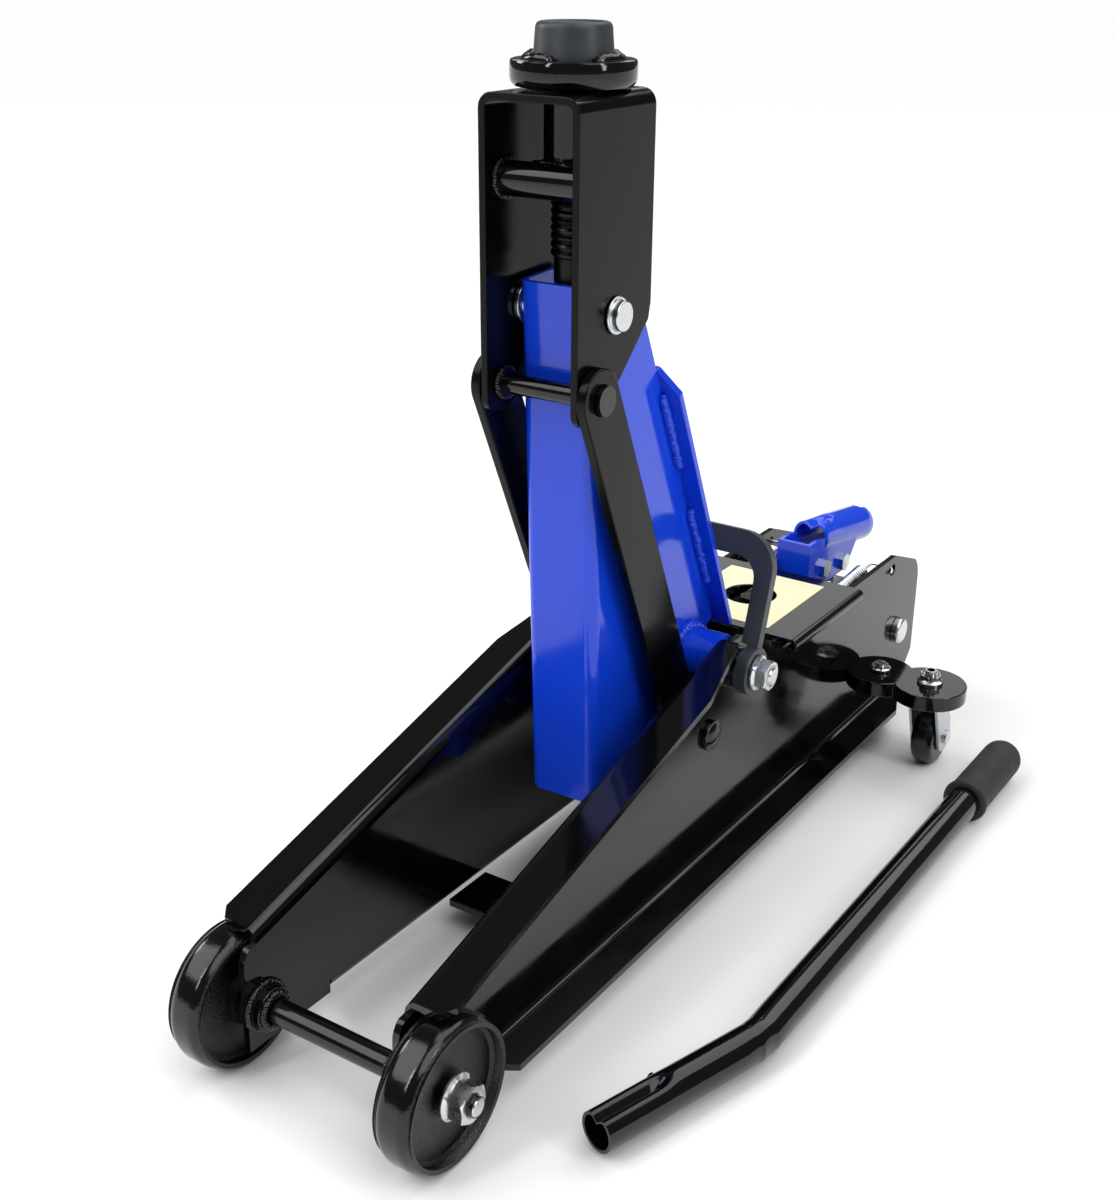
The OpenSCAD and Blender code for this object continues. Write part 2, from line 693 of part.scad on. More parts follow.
module link_cross_rod() {
    color(black) place() {
        bar_along_x(-head_in, head_in, 11, link_hi);
        both() bar_along_x(head_in - 4, head_in, 15, link_hi);
        both() bar_along_x(head_in, link_x1 + 3.5, pin_d, link_hi);
    }
}
module screw_sleeve() {
    color(black) place() difference() {
        bar_along_z(head_top - head_t - 45, head_top - head_t, screw_d + 7, 0, saddle_y);
        bar_along_z(head_top - head_t - 46, head_top, screw_d + 2 * run, 0, saddle_y);
    }
}
module head_crossbar() {
    p = [saddle_y - (screw_d + 7) / 2 - 9, head_top - 43];
    color(black) place() bar_along_x(-head_in, head_in, 18, p);
}
module lift_screw() {
    root = screw_d / 2 - 1.8;
    crest = screw_d / 2;
    z0 = screw_end + 12;
    turns = floor((head_top - 2 - z0) / screw_pitch);
    p = screw_pitch;
    color([0.2, 0.2, 0.21]) place() translate([0, saddle_y, 0]) rotate_extrude() polygon(concat(
        [[0, screw_end], [root - 0.6, screw_end], [root, screw_end + 1], [root, z0]],
        [for (i = [0:turns - 1], q = [[root, 0.1], [crest, 0.35], [crest, 0.65], [root, 0.9]])
            [q[0], z0 + (i + q[1]) * p]],
        [[root, head_top - 1], [stem_d / 2, head_top - 1], [stem_d / 2, saddle_z + 8], [0, saddle_z + 8]]));
}
module saddle_cup() {
    r = saddle_d / 2;
    rim = saddle_z + saddle_h;
    hold = pad_d / 2 + 2;
    color(black) place() translate([0, saddle_y, 0]) {
        rotate_extrude() polygon([[stem_d / 2 + run, saddle_z], [r - 6, saddle_z], [r, saddle_z + 3.5],
            [r, rim - 1], [r - 1, rim], [hold + 0.1, rim], [hold + 0.1, pad_z],
            [0, pad_z], [0, saddle_z + 8.5], [stem_d / 2 + run, saddle_z + 8.5]]);
        for (a = [20:90:290]) rotate(a) translate([hold + 3.6, 0, rim]) rotate([90, 0, 0])
            translate([0, 0, -9]) linear_extrude(18) intersection() {
                circle(r = 3.5);
                translate([-4, -0.5]) square(8);
            }
    }
}
module saddle_pad() {
    r = pad_d / 2;
    top = saddle_z + saddle_h + pad_h;
    color([0.07, 0.07, 0.075]) place() translate([0, saddle_y, 0]) rotate_extrude() polygon(concat(
        [[0, pad_z], [r + 2, pad_z], [r + 1.6, saddle_z + saddle_h]],
        arc([r - 2.5, top - 2.5], 2.5, 5, 90, 5), [[0, top]]));
}

// ---- Casters ----
lobe_in = 24;
lobe_out = 26;
lobe_in_x = face_x + lobe_in - 3;
module lobes(inset) {
    translate([lobe_in_x, caster_y]) circle(r = lobe_in - inset);
    translate([caster_x, caster_y]) circle(r = lobe_out - inset);
    translate([lobe_in_x + 6, caster_y - 13 + inset]) square([caster_x - lobe_in_x - 10, 26 - 2 * inset]);
}
module caster_bracket() {
    z = caster_plate_z;
    difference() {
        translate([0, 0, z - 11]) linear_extrude(11) lobes(0);
        translate([0, 0, z - 12]) linear_extrude(8) lobes(3.5);
        translate([plate_x - 10, caster_y - 60, z - 20]) cube([plate_t + 10, 120, 40]);
        bar_along_z(z - 12, z + 1, 8 + 2 * run, caster_x, caster_y);
        bar_along_z(z - 12, z + 1, 8 + 2 * run, lobe_in_x, caster_y);
    }
}
module caster_bracket_left() { color(black) place() hand(false) caster_bracket(); }
module caster_bracket_right() { color(black) place() hand(true) caster_bracket(); }
module caster_bolts() {
    z = caster_plate_z;
    color(zinc) place() both() {
        translate([lobe_in_x, caster_y, z]) nut(12, 4);
        bar_along_z(z - 8, z + 6, 8, lobe_in_x, caster_y);
        translate([caster_x, caster_y, z]) flange_nut(18, 13, 7, 8 + 2 * run);
        bar_along_z(z - 9, z + 10, 8, caster_x, caster_y);
        bar_along_z(z - 11, z - 4, 12, caster_x, caster_y);
        bar_along_z(z - 18, z - 11, 8, caster_x, caster_y);
        bar_along_z(z - 18, z - 14, 13, caster_x, caster_y);
    }
}
// The fork is drawn with its trail pointing back.
module caster_fork() {
    head_z = caster_plate_z - 11;
    half = 11;
    t = 2;
    hub = [caster_trail, caster_r];
    translate([caster_x, caster_y, 0]) {
        translate([0, 0, head_z - t - 0.5]) difference() {
            cylinder(h = t, r = 16);
            translate([0, 0, -1]) cylinder(h = t + 2, d = 8 + 2 * run);
        }
        both() side_view(half - t, half) difference() {
            union() {
                translate(hub) circle(r = 11);
                polygon([[-10, head_z - 2.5], [12, head_z - 2.5], [caster_trail + 10.8, caster_r + 2],
                    [caster_trail - 10.2, caster_r - 4]]);
            }
            translate(hub) circle(d = 6);
        }
    }
}
module caster_fork_left() { color(zinc) place() hand(false) caster_fork(); }
module caster_fork_right() { color(zinc) place() hand(true) caster_fork(); }
module caster_wheel() {
    half = 8;
    translate([caster_x, caster_y + caster_trail, caster_r]) rotate([0, 90, 0])
        rotate_extrude() polygon(concat(
        [[3 + run, -half], [caster_r - 6, -half]],
        arc([caster_r - 5, -half + 5], 5, 285, 360, 5),
        arc([caster_r - 5, half - 5], 5, 0, 75, 5),
        [[caster_r - 6, half], [3 + run, half]]));
}
module caster_wheel_left() { color(black) place() hand(false) caster_wheel(); }
module caster_wheel_right() { color(black) place() hand(true) caster_wheel(); }
module caster_pin() {
    p = [caster_y + caster_trail, caster_r];
    bar_along_x(caster_x - 11, caster_x + 11, 6, p);
    bar_along_x(caster_x + 11, caster_x + 13.5, 10, p);
    bar_along_x(caster_x - 13.5, caster_x - 11, 10, p);
}
module caster_pin_left() { color(zinc) place() hand(false) caster_pin(); }
module caster_pin_right() { color(zinc) place() hand(true) caster_pin(); }

// ---- Pump bar, lying on the floor beside the jack ----
// Moves to the point where the two ends' axes meet.
module at_bend() {
    translate([bar_x, bar_y, bar_z]) children();
}
// Round section pressed in along one side; k insets it by the wall.
module pressed_round(k) {
    difference() {
        circle(d = bar_d - 2 * k);
        translate([0, press_at * bar_d]) circle(r = press_r * bar_d + gap + k);
    }
}
bend_in = bar_bend_r * tan(bar_bend / 2);
module along_long_end(from) {
    translate([0, from, 0]) rotate([-90, 0, 0]) children();
}
module along_short_end(from) {
    rotate([0, 0, -bar_bend]) rotate([90, 0, 0]) translate([0, 0, from]) children();
}
// The bend is a short solid elbow, a little fatter than the two tubes that run into it.
module pump_bar() {
    pressed_z = bar_short - 46;
    wall = 2;
    lap = 1.5;
    swell = 0.5;
    bore = bar_d - 2 * wall;
    color(black) place() at_bend() difference() {
        union() {
            along_long_end(bend_in - lap) cylinder(h = bar_long - bend_in + lap - 4, d = bar_d);
            along_short_end(bend_in - lap) cylinder(h = bar_short - bend_in + lap, d = bar_d);
            translate([-bar_bend_r, bend_in, 0]) rotate([0, 0, -bar_bend])
                rotate_extrude(angle = bar_bend) translate([bar_bend_r, 0]) circle(d = bar_d + swell);
        }
        along_long_end(bend_in + wall) cylinder(h = bar_long, d = bore);
        along_short_end(bend_in + wall) cylinder(h = pressed_z - bend_in - wall - 1, d = bore);
        along_short_end(pressed_z) translate([0, press_at * bar_d, 0])
            cylinder(h = 50, r = press_r * bar_d + gap);
        along_short_end(pressed_z + wall) linear_extrude(50) pressed_round(wall);
    }
}
module bar_stub_pin() {
    color(black) place() at_bend() rotate([0, 0, -bar_bend]) translate([0, -bar_short + 52, 0])
        rotate([0, -90, 0]) translate([0, 0, bar_d / 2 - 2]) cylinder(h = 6, d = 5);
}
module bar_grip() {
    r = grip_d / 2;
    end = bar_long;
    color([0.08, 0.08, 0.085]) place() at_bend() rotate([-90, 0, 0]) rotate_extrude() polygon(concat(
        [[bar_d / 2, end - grip_len], [r + grip_collar, end - grip_len],
         [r + grip_collar, end - grip_len + 5],
         [r, end - grip_len + 8]],
        arc([r - 9, end - 5], 9, 0, 90, 7), [[0, end + 4], [0, end - 4], [bar_d / 2, end - 4]]));
}

side_plate_left();
side_plate_right();
front_tie_plate();
rear_tie_plate();
front_axle();
axle_collars();
axle_nuts();
front_wheel_left();
front_wheel_right();
main_axle();
pivot_bosses();
main_axle_nuts();
link_pivot_pins();
carry_handle();
cover_plate();
cover_label();
pump_block();
trunnion_bolts();
cylinder_node();  // cylinder
reservoir();
gland_nut();
filler_plug();
safety_cap();
ram();
ram_seal();
ram_crosshead();
return_spring_left();
return_spring_right();
release_valve();
pump_plunger();
pump_spring();
socket_tube();
socket_bracket();
socket_pins();
arm_channel();
arm_back_plate();
arm_pivot_tube();
arm_levers();
lever_roller();
head_pivot_pin();
link_bars();
lift_head();
link_cross_rod();
screw_sleeve();
head_crossbar();
lift_screw();
saddle_cup();
saddle_pad();
caster_bracket_left();
caster_bracket_right();
caster_bolts();
caster_fork_left();
caster_fork_right();
caster_wheel_left();
caster_wheel_right();
caster_pin_left();
caster_pin_right();
pump_bar();
bar_grip();
bar_stub_pin();
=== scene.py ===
# %% [markdown]
# # A raised trolley jack and its loose pump bar
# The solid model gives every size and place. This script turns it into something to look at: it softens
# the edges of the pressed sheet steel, adds the welds, springs, thread and nuts, and paints each part.
# Everything is in metres. The jack's front wheels are at low y and its casters at high y.

# %% Load the solid model
import json
import math

import bmesh
import bpy
from mathutils import Matrix, Vector


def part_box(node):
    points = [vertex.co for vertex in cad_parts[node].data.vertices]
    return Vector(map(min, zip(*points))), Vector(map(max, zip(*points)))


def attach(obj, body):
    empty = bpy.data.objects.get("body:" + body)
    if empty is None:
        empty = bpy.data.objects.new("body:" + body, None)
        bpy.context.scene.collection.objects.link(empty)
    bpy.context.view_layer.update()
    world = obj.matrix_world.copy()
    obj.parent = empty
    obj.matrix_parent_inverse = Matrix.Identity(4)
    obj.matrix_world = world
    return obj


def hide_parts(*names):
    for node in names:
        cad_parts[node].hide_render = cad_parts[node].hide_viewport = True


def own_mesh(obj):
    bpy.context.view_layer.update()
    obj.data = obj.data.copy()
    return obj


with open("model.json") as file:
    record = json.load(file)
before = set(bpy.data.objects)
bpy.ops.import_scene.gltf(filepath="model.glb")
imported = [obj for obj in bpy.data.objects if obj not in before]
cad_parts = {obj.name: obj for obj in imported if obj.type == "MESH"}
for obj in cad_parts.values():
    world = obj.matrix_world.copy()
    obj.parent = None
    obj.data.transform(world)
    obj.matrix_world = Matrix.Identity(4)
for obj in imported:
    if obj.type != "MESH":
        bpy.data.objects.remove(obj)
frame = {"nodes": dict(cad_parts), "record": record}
solids = frame["nodes"]
body_of = {node: body for body, held in frame["record"]["behaviour"]["bodies"].items() for node in held}
slot_of = {part["node"]: part["material_slot"] for part in frame["record"]["subparts"]}
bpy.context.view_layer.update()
MM = 0.001


def middle(node):
    low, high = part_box(node)
    return (low + high) / 2


def extent(node):
    low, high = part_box(node)
    return high - low


# %% [markdown]
# ## Camera
# The jack is seen from its front right corner, a little above the saddle's height. The camera is placed
# first, because every later choice is judged through it. Its direction is given by an azimuth round
# the jack, an elevation above the floor and a slight roll.

# %% Camera
VIEW_AZIMUTH = math.radians(33.85)
VIEW_ELEVATION = math.radians(22.96)
VIEW_ROLL = math.radians(0.39)
VIEW_FOCAL = 47.3                       # mm
VIEW_SENSOR = 36                        # mm along the picture's long side
VIEW_PLACE = Vector((435.4, -772.1, 560.0)) * MM

back = Vector((math.sin(VIEW_AZIMUTH) * math.cos(VIEW_ELEVATION),
               -math.cos(VIEW_AZIMUTH) * math.cos(VIEW_ELEVATION), math.sin(VIEW_ELEVATION)))
level = Vector((0, 0, 1)).cross(back).normalized()
upright = back.cross(level)
across = level * math.cos(VIEW_ROLL) + upright * math.sin(VIEW_ROLL)
above = upright * math.cos(VIEW_ROLL) - level * math.sin(VIEW_ROLL)
camera = bpy.data.objects.new("camera", bpy.data.cameras.new("camera"))
camera.data.lens = VIEW_FOCAL
camera.data.sensor_width = VIEW_SENSOR
camera.data.clip_start = 0.01
camera.matrix_world = Matrix.Translation(VIEW_PLACE) @ Matrix((across, above, back)).transposed().to_4x4()
bpy.context.collection.objects.link(camera)
bpy.context.scene.camera = camera
print("camera at", [round(v, 3) for v in camera.location])

# %% [markdown]
# ## Helpers for materials
# Colours are picked as ordinary hex values, but the renderer works in linear light, so one function
# converts them. Another adds a node to a material with its settings and links in one line.

# %% Colour and node helpers
def linear(hex_colour):
    parts = [int(hex_colour[i:i + 2], 16) / 255 for i in (1, 3, 5)]
    return tuple(p / 12.92 if p < 0.04045 else ((p + 0.055) / 1.055) ** 2.4 for p in parts) + (1.0,)


def add_node(tree, kind, settings=None, sockets=None):
    """One node. Settings are its properties; a socket takes a number, a colour or another node's output."""
    node = tree.nodes.new(kind)
    for name, value in (settings or {}).items():
        setattr(node, name, value)
    for name, value in (sockets or {}).items():
        if isinstance(value, bpy.types.NodeSocket):
            tree.links.new(value, node.inputs[name])
        else:
            node.inputs[name].default_value = value
    return node


def start_finish(name, colour, roughness, **sockets):
    """A new material with its steady values set on the shader's own sockets.

    Gives back the material, its node tree, its shader and the place on the piece that patterns read."""
    made = bpy.data.materials.new(name)
    made.use_nodes = True
    shader = made.node_tree.nodes["Principled BSDF"]
    shader.inputs["Base Color"].default_value = linear(colour)
    shader.inputs["Roughness"].default_value = roughness
    for socket, value in sockets.items():
        shader.inputs[socket.replace("_", " ")].default_value = value
    place = add_node(made.node_tree, "ShaderNodeTexCoord").outputs["Object"]
    return made, made.node_tree, shader, place


def set_ramp(ramp, stops):
    """Fills a colour ramp from (position, grey level or colour) pairs."""
    line = ramp.color_ramp
    while len(line.elements) > 1:
        line.elements.remove(line.elements[0])
    for i, (position, value) in enumerate(stops):
        element = line.elements[0] if i == 0 else line.elements.new(position)
        element.position = position
        element.color = value if isinstance(value, tuple) else (value, value, value, 1)


def bump_from(tree, shader, height, depth_mm, below=None):
    """Joins a height pattern to the shader's normal; depth is the real depth of the relief."""
    sockets = {"Height": height, "Distance": depth_mm * MM, "Strength": 1.0}
    if below is not None:
        sockets["Normal"] = below
    relief = add_node(tree, "ShaderNodeBump", None, sockets).outputs["Normal"]
    tree.links.new(relief, shader.inputs["Normal"])
    return relief


# %% [markdown]
# ## Sprayed enamel
# The frame, the head and the links are mild steel sheet under sprayed gloss black; the arm and the
# handle socket are the same in blue. Enamel is a clear, smooth film: its reflections are sharp but they
# wobble, because the film dries into a faint orange peel about 2 mm from crest to crest, and the sheet
# below it isn't perfectly flat. A few specks of dust are caught in it. One function makes all
# four paints, thinner on the head and links and thicker on the pressings.

# %% Enamel
ORANGE_PEEL = 2.2                       # mm between crests
SHEET_WAVE = 45.0                       # mm between the sheet's own shallow waves
DUST_SPACING = 9.0                      # mm between specks caught in the paint
DUST_SIZE = 0.045                       # a speck's size, as a share of that spacing
DUST_HEIGHT = 0.05                      # mm
HANDLED = 26.3                          # mm between patches that hands have dulled
ENAMEL_IOR = 1.5


def enamel(name, colour, roughness, peel_depth=0.010, wave_depth=0.10, shine=0.5):
    """Gloss paint: an even colour under three reliefs, with a roughness that drifts by patches."""
    made, tree, shader, place = start_finish(name, colour, roughness, IOR=ENAMEL_IOR,
                                              Specular_IOR_Level=shine)
    peel = add_node(tree, "ShaderNodeTexNoise", None,
                    {"Vector": place, "Scale": 1 / (ORANGE_PEEL * MM), "Detail": 1.0})
    wave = add_node(tree, "ShaderNodeTexNoise", None,
                    {"Vector": place, "Scale": 1 / (SHEET_WAVE * MM), "Detail": 0.0})
    dust = add_node(tree, "ShaderNodeTexVoronoi", None,
                    {"Vector": place, "Scale": 1 / (DUST_SPACING * MM), "Randomness": 1.0})
    speck = add_node(tree, "ShaderNodeMapRange", None,
                     {"Value": dust.outputs["Distance"], "From Min": 0.0, "From Max": DUST_SIZE,
                      "To Min": 1.0, "To Max": 0.0})
    handled = add_node(tree, "ShaderNodeTexNoise", None,
                       {"Vector": place, "Scale": 1 / (HANDLED * MM), "Detail": 3.0})
    haze = add_node(tree, "ShaderNodeMapRange", None,
                    {"Value": handled.outputs["Fac"], "From Min": 0.35, "From Max": 0.75,
                     "To Min": roughness * 0.75, "To Max": roughness * 1.6})
    tree.links.new(haze.outputs["Result"], shader.inputs["Roughness"])
    slow = bump_from(tree, shader, wave.outputs["Fac"], wave_depth)
    fine = bump_from(tree, shader, peel.outputs["Fac"], peel_depth, slow)
    bump_from(tree, shader, speck.outputs["Result"], DUST_HEIGHT, fine)
    return made


gloss_black = enamel("gloss black enamel on sheet steel", "#060607", 0.09)
gloss_blue = enamel("gloss blue enamel on sheet steel", "#1042DB", 0.11)
thin_black = enamel("thin black enamel on the head and links", "#060607", 0.16, shine=0.16)
thick_black = enamel("thick gloss black enamel on pressings", "#070708", 0.07, peel_depth=0.03)
print("enamels:", [paint.name for paint in (gloss_black, gloss_blue, thin_black, thick_black)])

# %% [markdown]
# ## Enamel over cast iron
# The front wheels are sand castings. Their faces keep the grain of the sand, pits a little over 1 mm
# apart, and the paint lies in them like lacquer. Treads get knocked, so a few small chips show the tan
# primer below the enamel.

# %% Painted casting
CAST_GRAIN = 1.3                        # mm between the sand's pits
CHIP_SPACING = 7.7                      # mm between places where the paint may chip
CHIP_ROUGHNESS = 0.7


def painted_casting(name, roughness, grain_depth, chips_from):
    """Enamel over grains of cast sand. Chips show where the noise passes chips_from."""
    made, tree, shader, place = start_finish(name, "#070707", roughness, IOR=ENAMEL_IOR)
    grain = add_node(tree, "ShaderNodeTexNoise", None,
                     {"Vector": place, "Scale": 1 / (CAST_GRAIN * MM), "Detail": 3.0, "Roughness": 0.6})
    chip_noise = add_node(tree, "ShaderNodeTexNoise", None,
                          {"Vector": place, "Scale": 1 / (CHIP_SPACING * MM), "Detail": 6.0,
                           "Roughness": 0.65})
    chipped = add_node(tree, "ShaderNodeValToRGB", None, {"Fac": chip_noise.outputs["Fac"]})
    set_ramp(chipped, [(chips_from, 0.0), (chips_from + 0.01, 1.0)])
    chip_colour = add_node(tree, "ShaderNodeMix", {"data_type": "RGBA"},
                           {"Factor": chipped.outputs["Color"], 6: linear("#070707"), 7: linear("#A08C6A")})
    tree.links.new(chip_colour.outputs[2], shader.inputs["Base Color"])
    chip_rough = add_node(tree, "ShaderNodeMapRange", None,
                          {"Value": chipped.outputs["Color"], "To Min": roughness,
                           "To Max": CHIP_ROUGHNESS})
    tree.links.new(chip_rough.outputs["Result"], shader.inputs["Roughness"])
    bump_from(tree, shader, grain.outputs["Fac"], grain_depth)
    return made


cast_black = painted_casting("enamel on a sand cast face", 0.20, 0.50, 0.80)
tread_black = painted_casting("enamel on a worn tread", 0.10, 0.07, 0.725)
print("castings:", cast_black.name, "and", tread_black.name)

# %% [markdown]
# ## Plated and bare steel
# Nuts, bolts, pins, forks and springs are zinc plated: a bright, slightly cloudy metal. The cloud is a
# patchy change of roughness, not of colour. The lift screw is left bare and oiled, so it is nearly black.

# %% Zinc plate and oiled steel
PLATE_PITS = 0.9                        # mm between the pits in a plated skin
PLATE_PIT_DEPTH = 0.02                  # mm


def plated(name, colour, smooth, cloudy, patch_mm):
    """Bare or plated metal whose roughness drifts between smooth and cloudy, patch by patch."""
    made, tree, shader, place = start_finish(name, colour, smooth, Metallic=1.0)
    cloud = add_node(tree, "ShaderNodeTexNoise", None,
                     {"Vector": place, "Scale": 1 / (patch_mm * MM), "Detail": 4.0})
    spread = add_node(tree, "ShaderNodeMapRange", None,
                      {"Value": cloud.outputs["Fac"], "From Min": 0.3, "From Max": 0.7,
                       "To Min": smooth, "To Max": cloudy})
    tree.links.new(spread.outputs["Result"], shader.inputs["Roughness"])
    pits = add_node(tree, "ShaderNodeTexNoise", None,
                    {"Vector": place, "Scale": 1 / (PLATE_PITS * MM), "Detail": 2.0})
    bump_from(tree, shader, pits.outputs["Fac"], PLATE_PIT_DEPTH)
    return made


bright_zinc = plated("bright zinc plated steel", "#D5D8DA", 0.16, 0.38, 7.0)
dull_zinc = plated("stamped zinc plated sheet", "#C9CDD2", 0.30, 0.50, 5.0)
oiled_steel = plated("oiled dark steel", "#2A2A2C", 0.22, 0.42, 4.0)
print("metals:", [metal.name for metal in (bright_zinc, dull_zinc, oiled_steel)])

# %% [markdown]
# ## Rubber, plastic, satin paint and the blank label
# The saddle pad and the bar's grip are black rubber: the pad is moulded and slightly greasy, the grip
# is dull. The caster wheels are moulded nylon. The carry handle is a steel strap in satin slate paint,
# with a finer texture than the enamel. The label is a cream vinyl film, left blank.

# %% Soft and dull finishes
WIPED = 16.7                            # mm between patches wiped smooth by hands and rags


def grained(name, colour, smooth, dull, grain_mm, depth_mm):
    """A dull moulded or painted skin with a pebbled grain, wiped smoother in places."""
    made, tree, shader, place = start_finish(name, colour, smooth)
    pebble = add_node(tree, "ShaderNodeTexNoise", None,
                      {"Vector": place, "Scale": 1 / (grain_mm * MM), "Detail": 3.0})
    wipe = add_node(tree, "ShaderNodeTexNoise", None,
                    {"Vector": place, "Scale": 1 / (WIPED * MM), "Detail": 4.0})
    spread = add_node(tree, "ShaderNodeMapRange", None,
                      {"Value": wipe.outputs["Fac"], "From Min": 0.3, "From Max": 0.7,
                       "To Min": smooth, "To Max": dull})
    tree.links.new(spread.outputs["Result"], shader.inputs["Roughness"])
    bump_from(tree, shader, pebble.outputs["Fac"], depth_mm)
    return made


pad_rubber = grained("moulded rubber pad", "#2B3036", 0.38, 0.56, 0.8, 0.03)
grip_rubber = grained("soft rubber grip", "#262729", 0.62, 0.80, 0.9, 0.06)
satin_slate = grained("satin slate paint on a steel strap", "#33373D", 0.34, 0.46, 1.1, 0.03)
caster_nylon = grained("moulded black nylon", "#0A0A0B", 0.16, 0.30, 3.0, 0.02)
red_cap = grained("moulded red cap", "#B80D0A", 0.28, 0.40, 2.0, 0.02)
cream_film = grained("cream vinyl label film", "#EDE9C0", 0.30, 0.42, 6.0, 0.01)

finish_of_slot = {
    "black_paint": gloss_black, "blue_paint": gloss_blue, "wheel_paint": cast_black,
    "zinc_plate": bright_zinc, "bare_steel": oiled_steel, "slate_paint": satin_slate,
    "caster_plastic": caster_nylon, "pad_rubber": pad_rubber, "grip_rubber": grip_rubber,
    "red_plastic": red_cap, "label_film": cream_film}
for node, solid in solids.items():
    solid.data.materials.clear()
    solid.data.materials.append(finish_of_slot[slot_of[node]])
print("finishes:", len(finish_of_slot))


# %% [markdown]
# ## Helpers for pieces
# Most pieces are either a skin stretched over rings of points, which covers anything turned or drawn
# along a path, or a copy of a solid with its edges softened. Both end the same way: smooth shading with
# sharp folds kept, a finish, and a body to ride on.

# %% Piece helpers
SHARP = math.radians(35)


def settle(piece, body, slot, finish, *replaced, sharp=SHARP):
    """Shades, paints and attaches a finished piece. With sharp=None its shading is already right."""
    if sharp is not None:
        piece.data.shade_smooth()
        piece.data.set_sharp_from_angle(angle=sharp)
    piece.data.materials.clear()
    piece.data.materials.append(finish)
    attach(piece, body)
    if replaced:
        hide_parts(*replaced)
    return piece


def piece_from(name, bm):
    """An object at the origin, made of a finished mesh under construction."""
    mesh = bpy.data.meshes.new(name)
    bm.to_mesh(mesh)
    bm.free()
    piece = bpy.data.objects.new(name, mesh)
    bpy.context.collection.objects.link(piece)
    return piece


def stretch_skin(bm, rings, joined_ends=False):
    """Adds quads between neighbouring rings of points, and closes or joins the two ends."""
    made = [[bm.verts.new(p) for p in ring] for ring in rings]
    following = made[1:] + made[:1] if joined_ends else made[1:]
    for a, b in zip(made, following):
        for i in range(len(a)):
            j = (i + 1) % len(a)
            bm.faces.new((a[i], a[j], b[j], b[i]))
    if not joined_ends:
        bm.faces.new(list(reversed(made[0])))
        bm.faces.new(made[-1])


def outward(bm):
    """Turns every face outwards."""
    bmesh.ops.recalc_face_normals(bm, faces=bm.faces)


def turned(bm, profile, centre, axis, steps=72, closed=False):
    """A turned shape: profile is (radius, distance along the axis) pairs."""
    along = Vector(axis)
    side = along.orthogonal().normalized()
    other = along.cross(side)
    rings = []
    for radius, distance in profile:
        spot = Vector(centre) + along * distance
        rings.append([spot + (side * math.cos(t) + other * math.sin(t)) * radius
                      for t in (2 * math.pi * k / steps for k in range(steps))])
    stretch_skin(bm, rings, joined_ends=closed)


SAME_POINT = 0.003 * MM                 # points closer than this are one
FLAT_ENOUGH = math.radians(0.6)         # faces that turn less than this are one flat face
EDGE_ANGLE = math.radians(30)           # an edge that turns more than this is rounded


def softened(node, width_mm, finish=None):
    """A copy of a solid with its sharp edges rounded off."""
    bm = bmesh.new()
    bm.from_mesh(solids[node].data)
    bmesh.ops.remove_doubles(bm, verts=bm.verts, dist=SAME_POINT)
    bmesh.ops.dissolve_limit(bm, angle_limit=FLAT_ENOUGH, verts=bm.verts, edges=bm.edges)
    piece = piece_from("soft_" + node, bm)
    if "custom_normal" in piece.data.attributes:
        piece.data.attributes.remove(piece.data.attributes["custom_normal"])
    bevel = piece.modifiers.new("edge", "BEVEL")
    bevel.width = width_mm * MM
    bevel.segments = 2
    bevel.limit_method = "ANGLE"
    bevel.angle_limit = EDGE_ANGLE
    bevel.use_clamp_overlap = True
    piece.data.shade_smooth()
    piece.data.set_sharp_from_angle(angle=SHARP)
    flatten = piece.modifiers.new("flatten", "WEIGHTED_NORMAL")
    flatten.keep_sharp = True
    flatten.weight = 50
    shaped = bpy.data.meshes.new_from_object(piece.evaluated_get(bpy.context.evaluated_depsgraph_get()))
    piece.modifiers.clear()
    piece.data = shaped
    slot = slot_of[node]
    return settle(piece, body_of[node], slot, finish or finish_of_slot[slot], node, sharp=None)


def size_input(modifier, tree, name, value):
    """Sets a Geometry Nodes input by the identifier behind its name."""
    item = next(i for i in tree.interface.items_tree if i.name == name and i.in_out == "INPUT")
    modifier[item.identifier] = value


def new_growth(name, sizes):
    """An empty Geometry Nodes tree with a Geometry input, named sizes in metres and a Finish."""
    tree = bpy.data.node_groups.new(name, "GeometryNodeTree")
    tree.interface.new_socket("Geometry", in_out="INPUT", socket_type="NodeSocketGeometry")
    for size, default in sizes.items():
        socket = tree.interface.new_socket(size, in_out="INPUT", socket_type="NodeSocketFloat")
        socket.default_value = default
    tree.interface.new_socket("Finish", in_out="INPUT", socket_type="NodeSocketMaterial")
    tree.interface.new_socket("Geometry", in_out="OUTPUT", socket_type="NodeSocketGeometry")
    return tree, add_node(tree, "NodeGroupInput")


def end_growth(tree, inputs, shape):
    """Makes the tree's instances real and paints them, which is how every tree here ends."""
    real = add_node(tree, "GeometryNodeRealizeInstances", None, {"Geometry": shape})
    painted = add_node(tree, "GeometryNodeSetMaterial", None,
                       {"Geometry": real.outputs["Geometry"], "Material": inputs.outputs["Finish"]})
    add_node(tree, "NodeGroupOutput", None, {"Geometry": painted.outputs["Geometry"]})
    print("tree", repr(tree.name), "has", len(tree.nodes), "nodes")


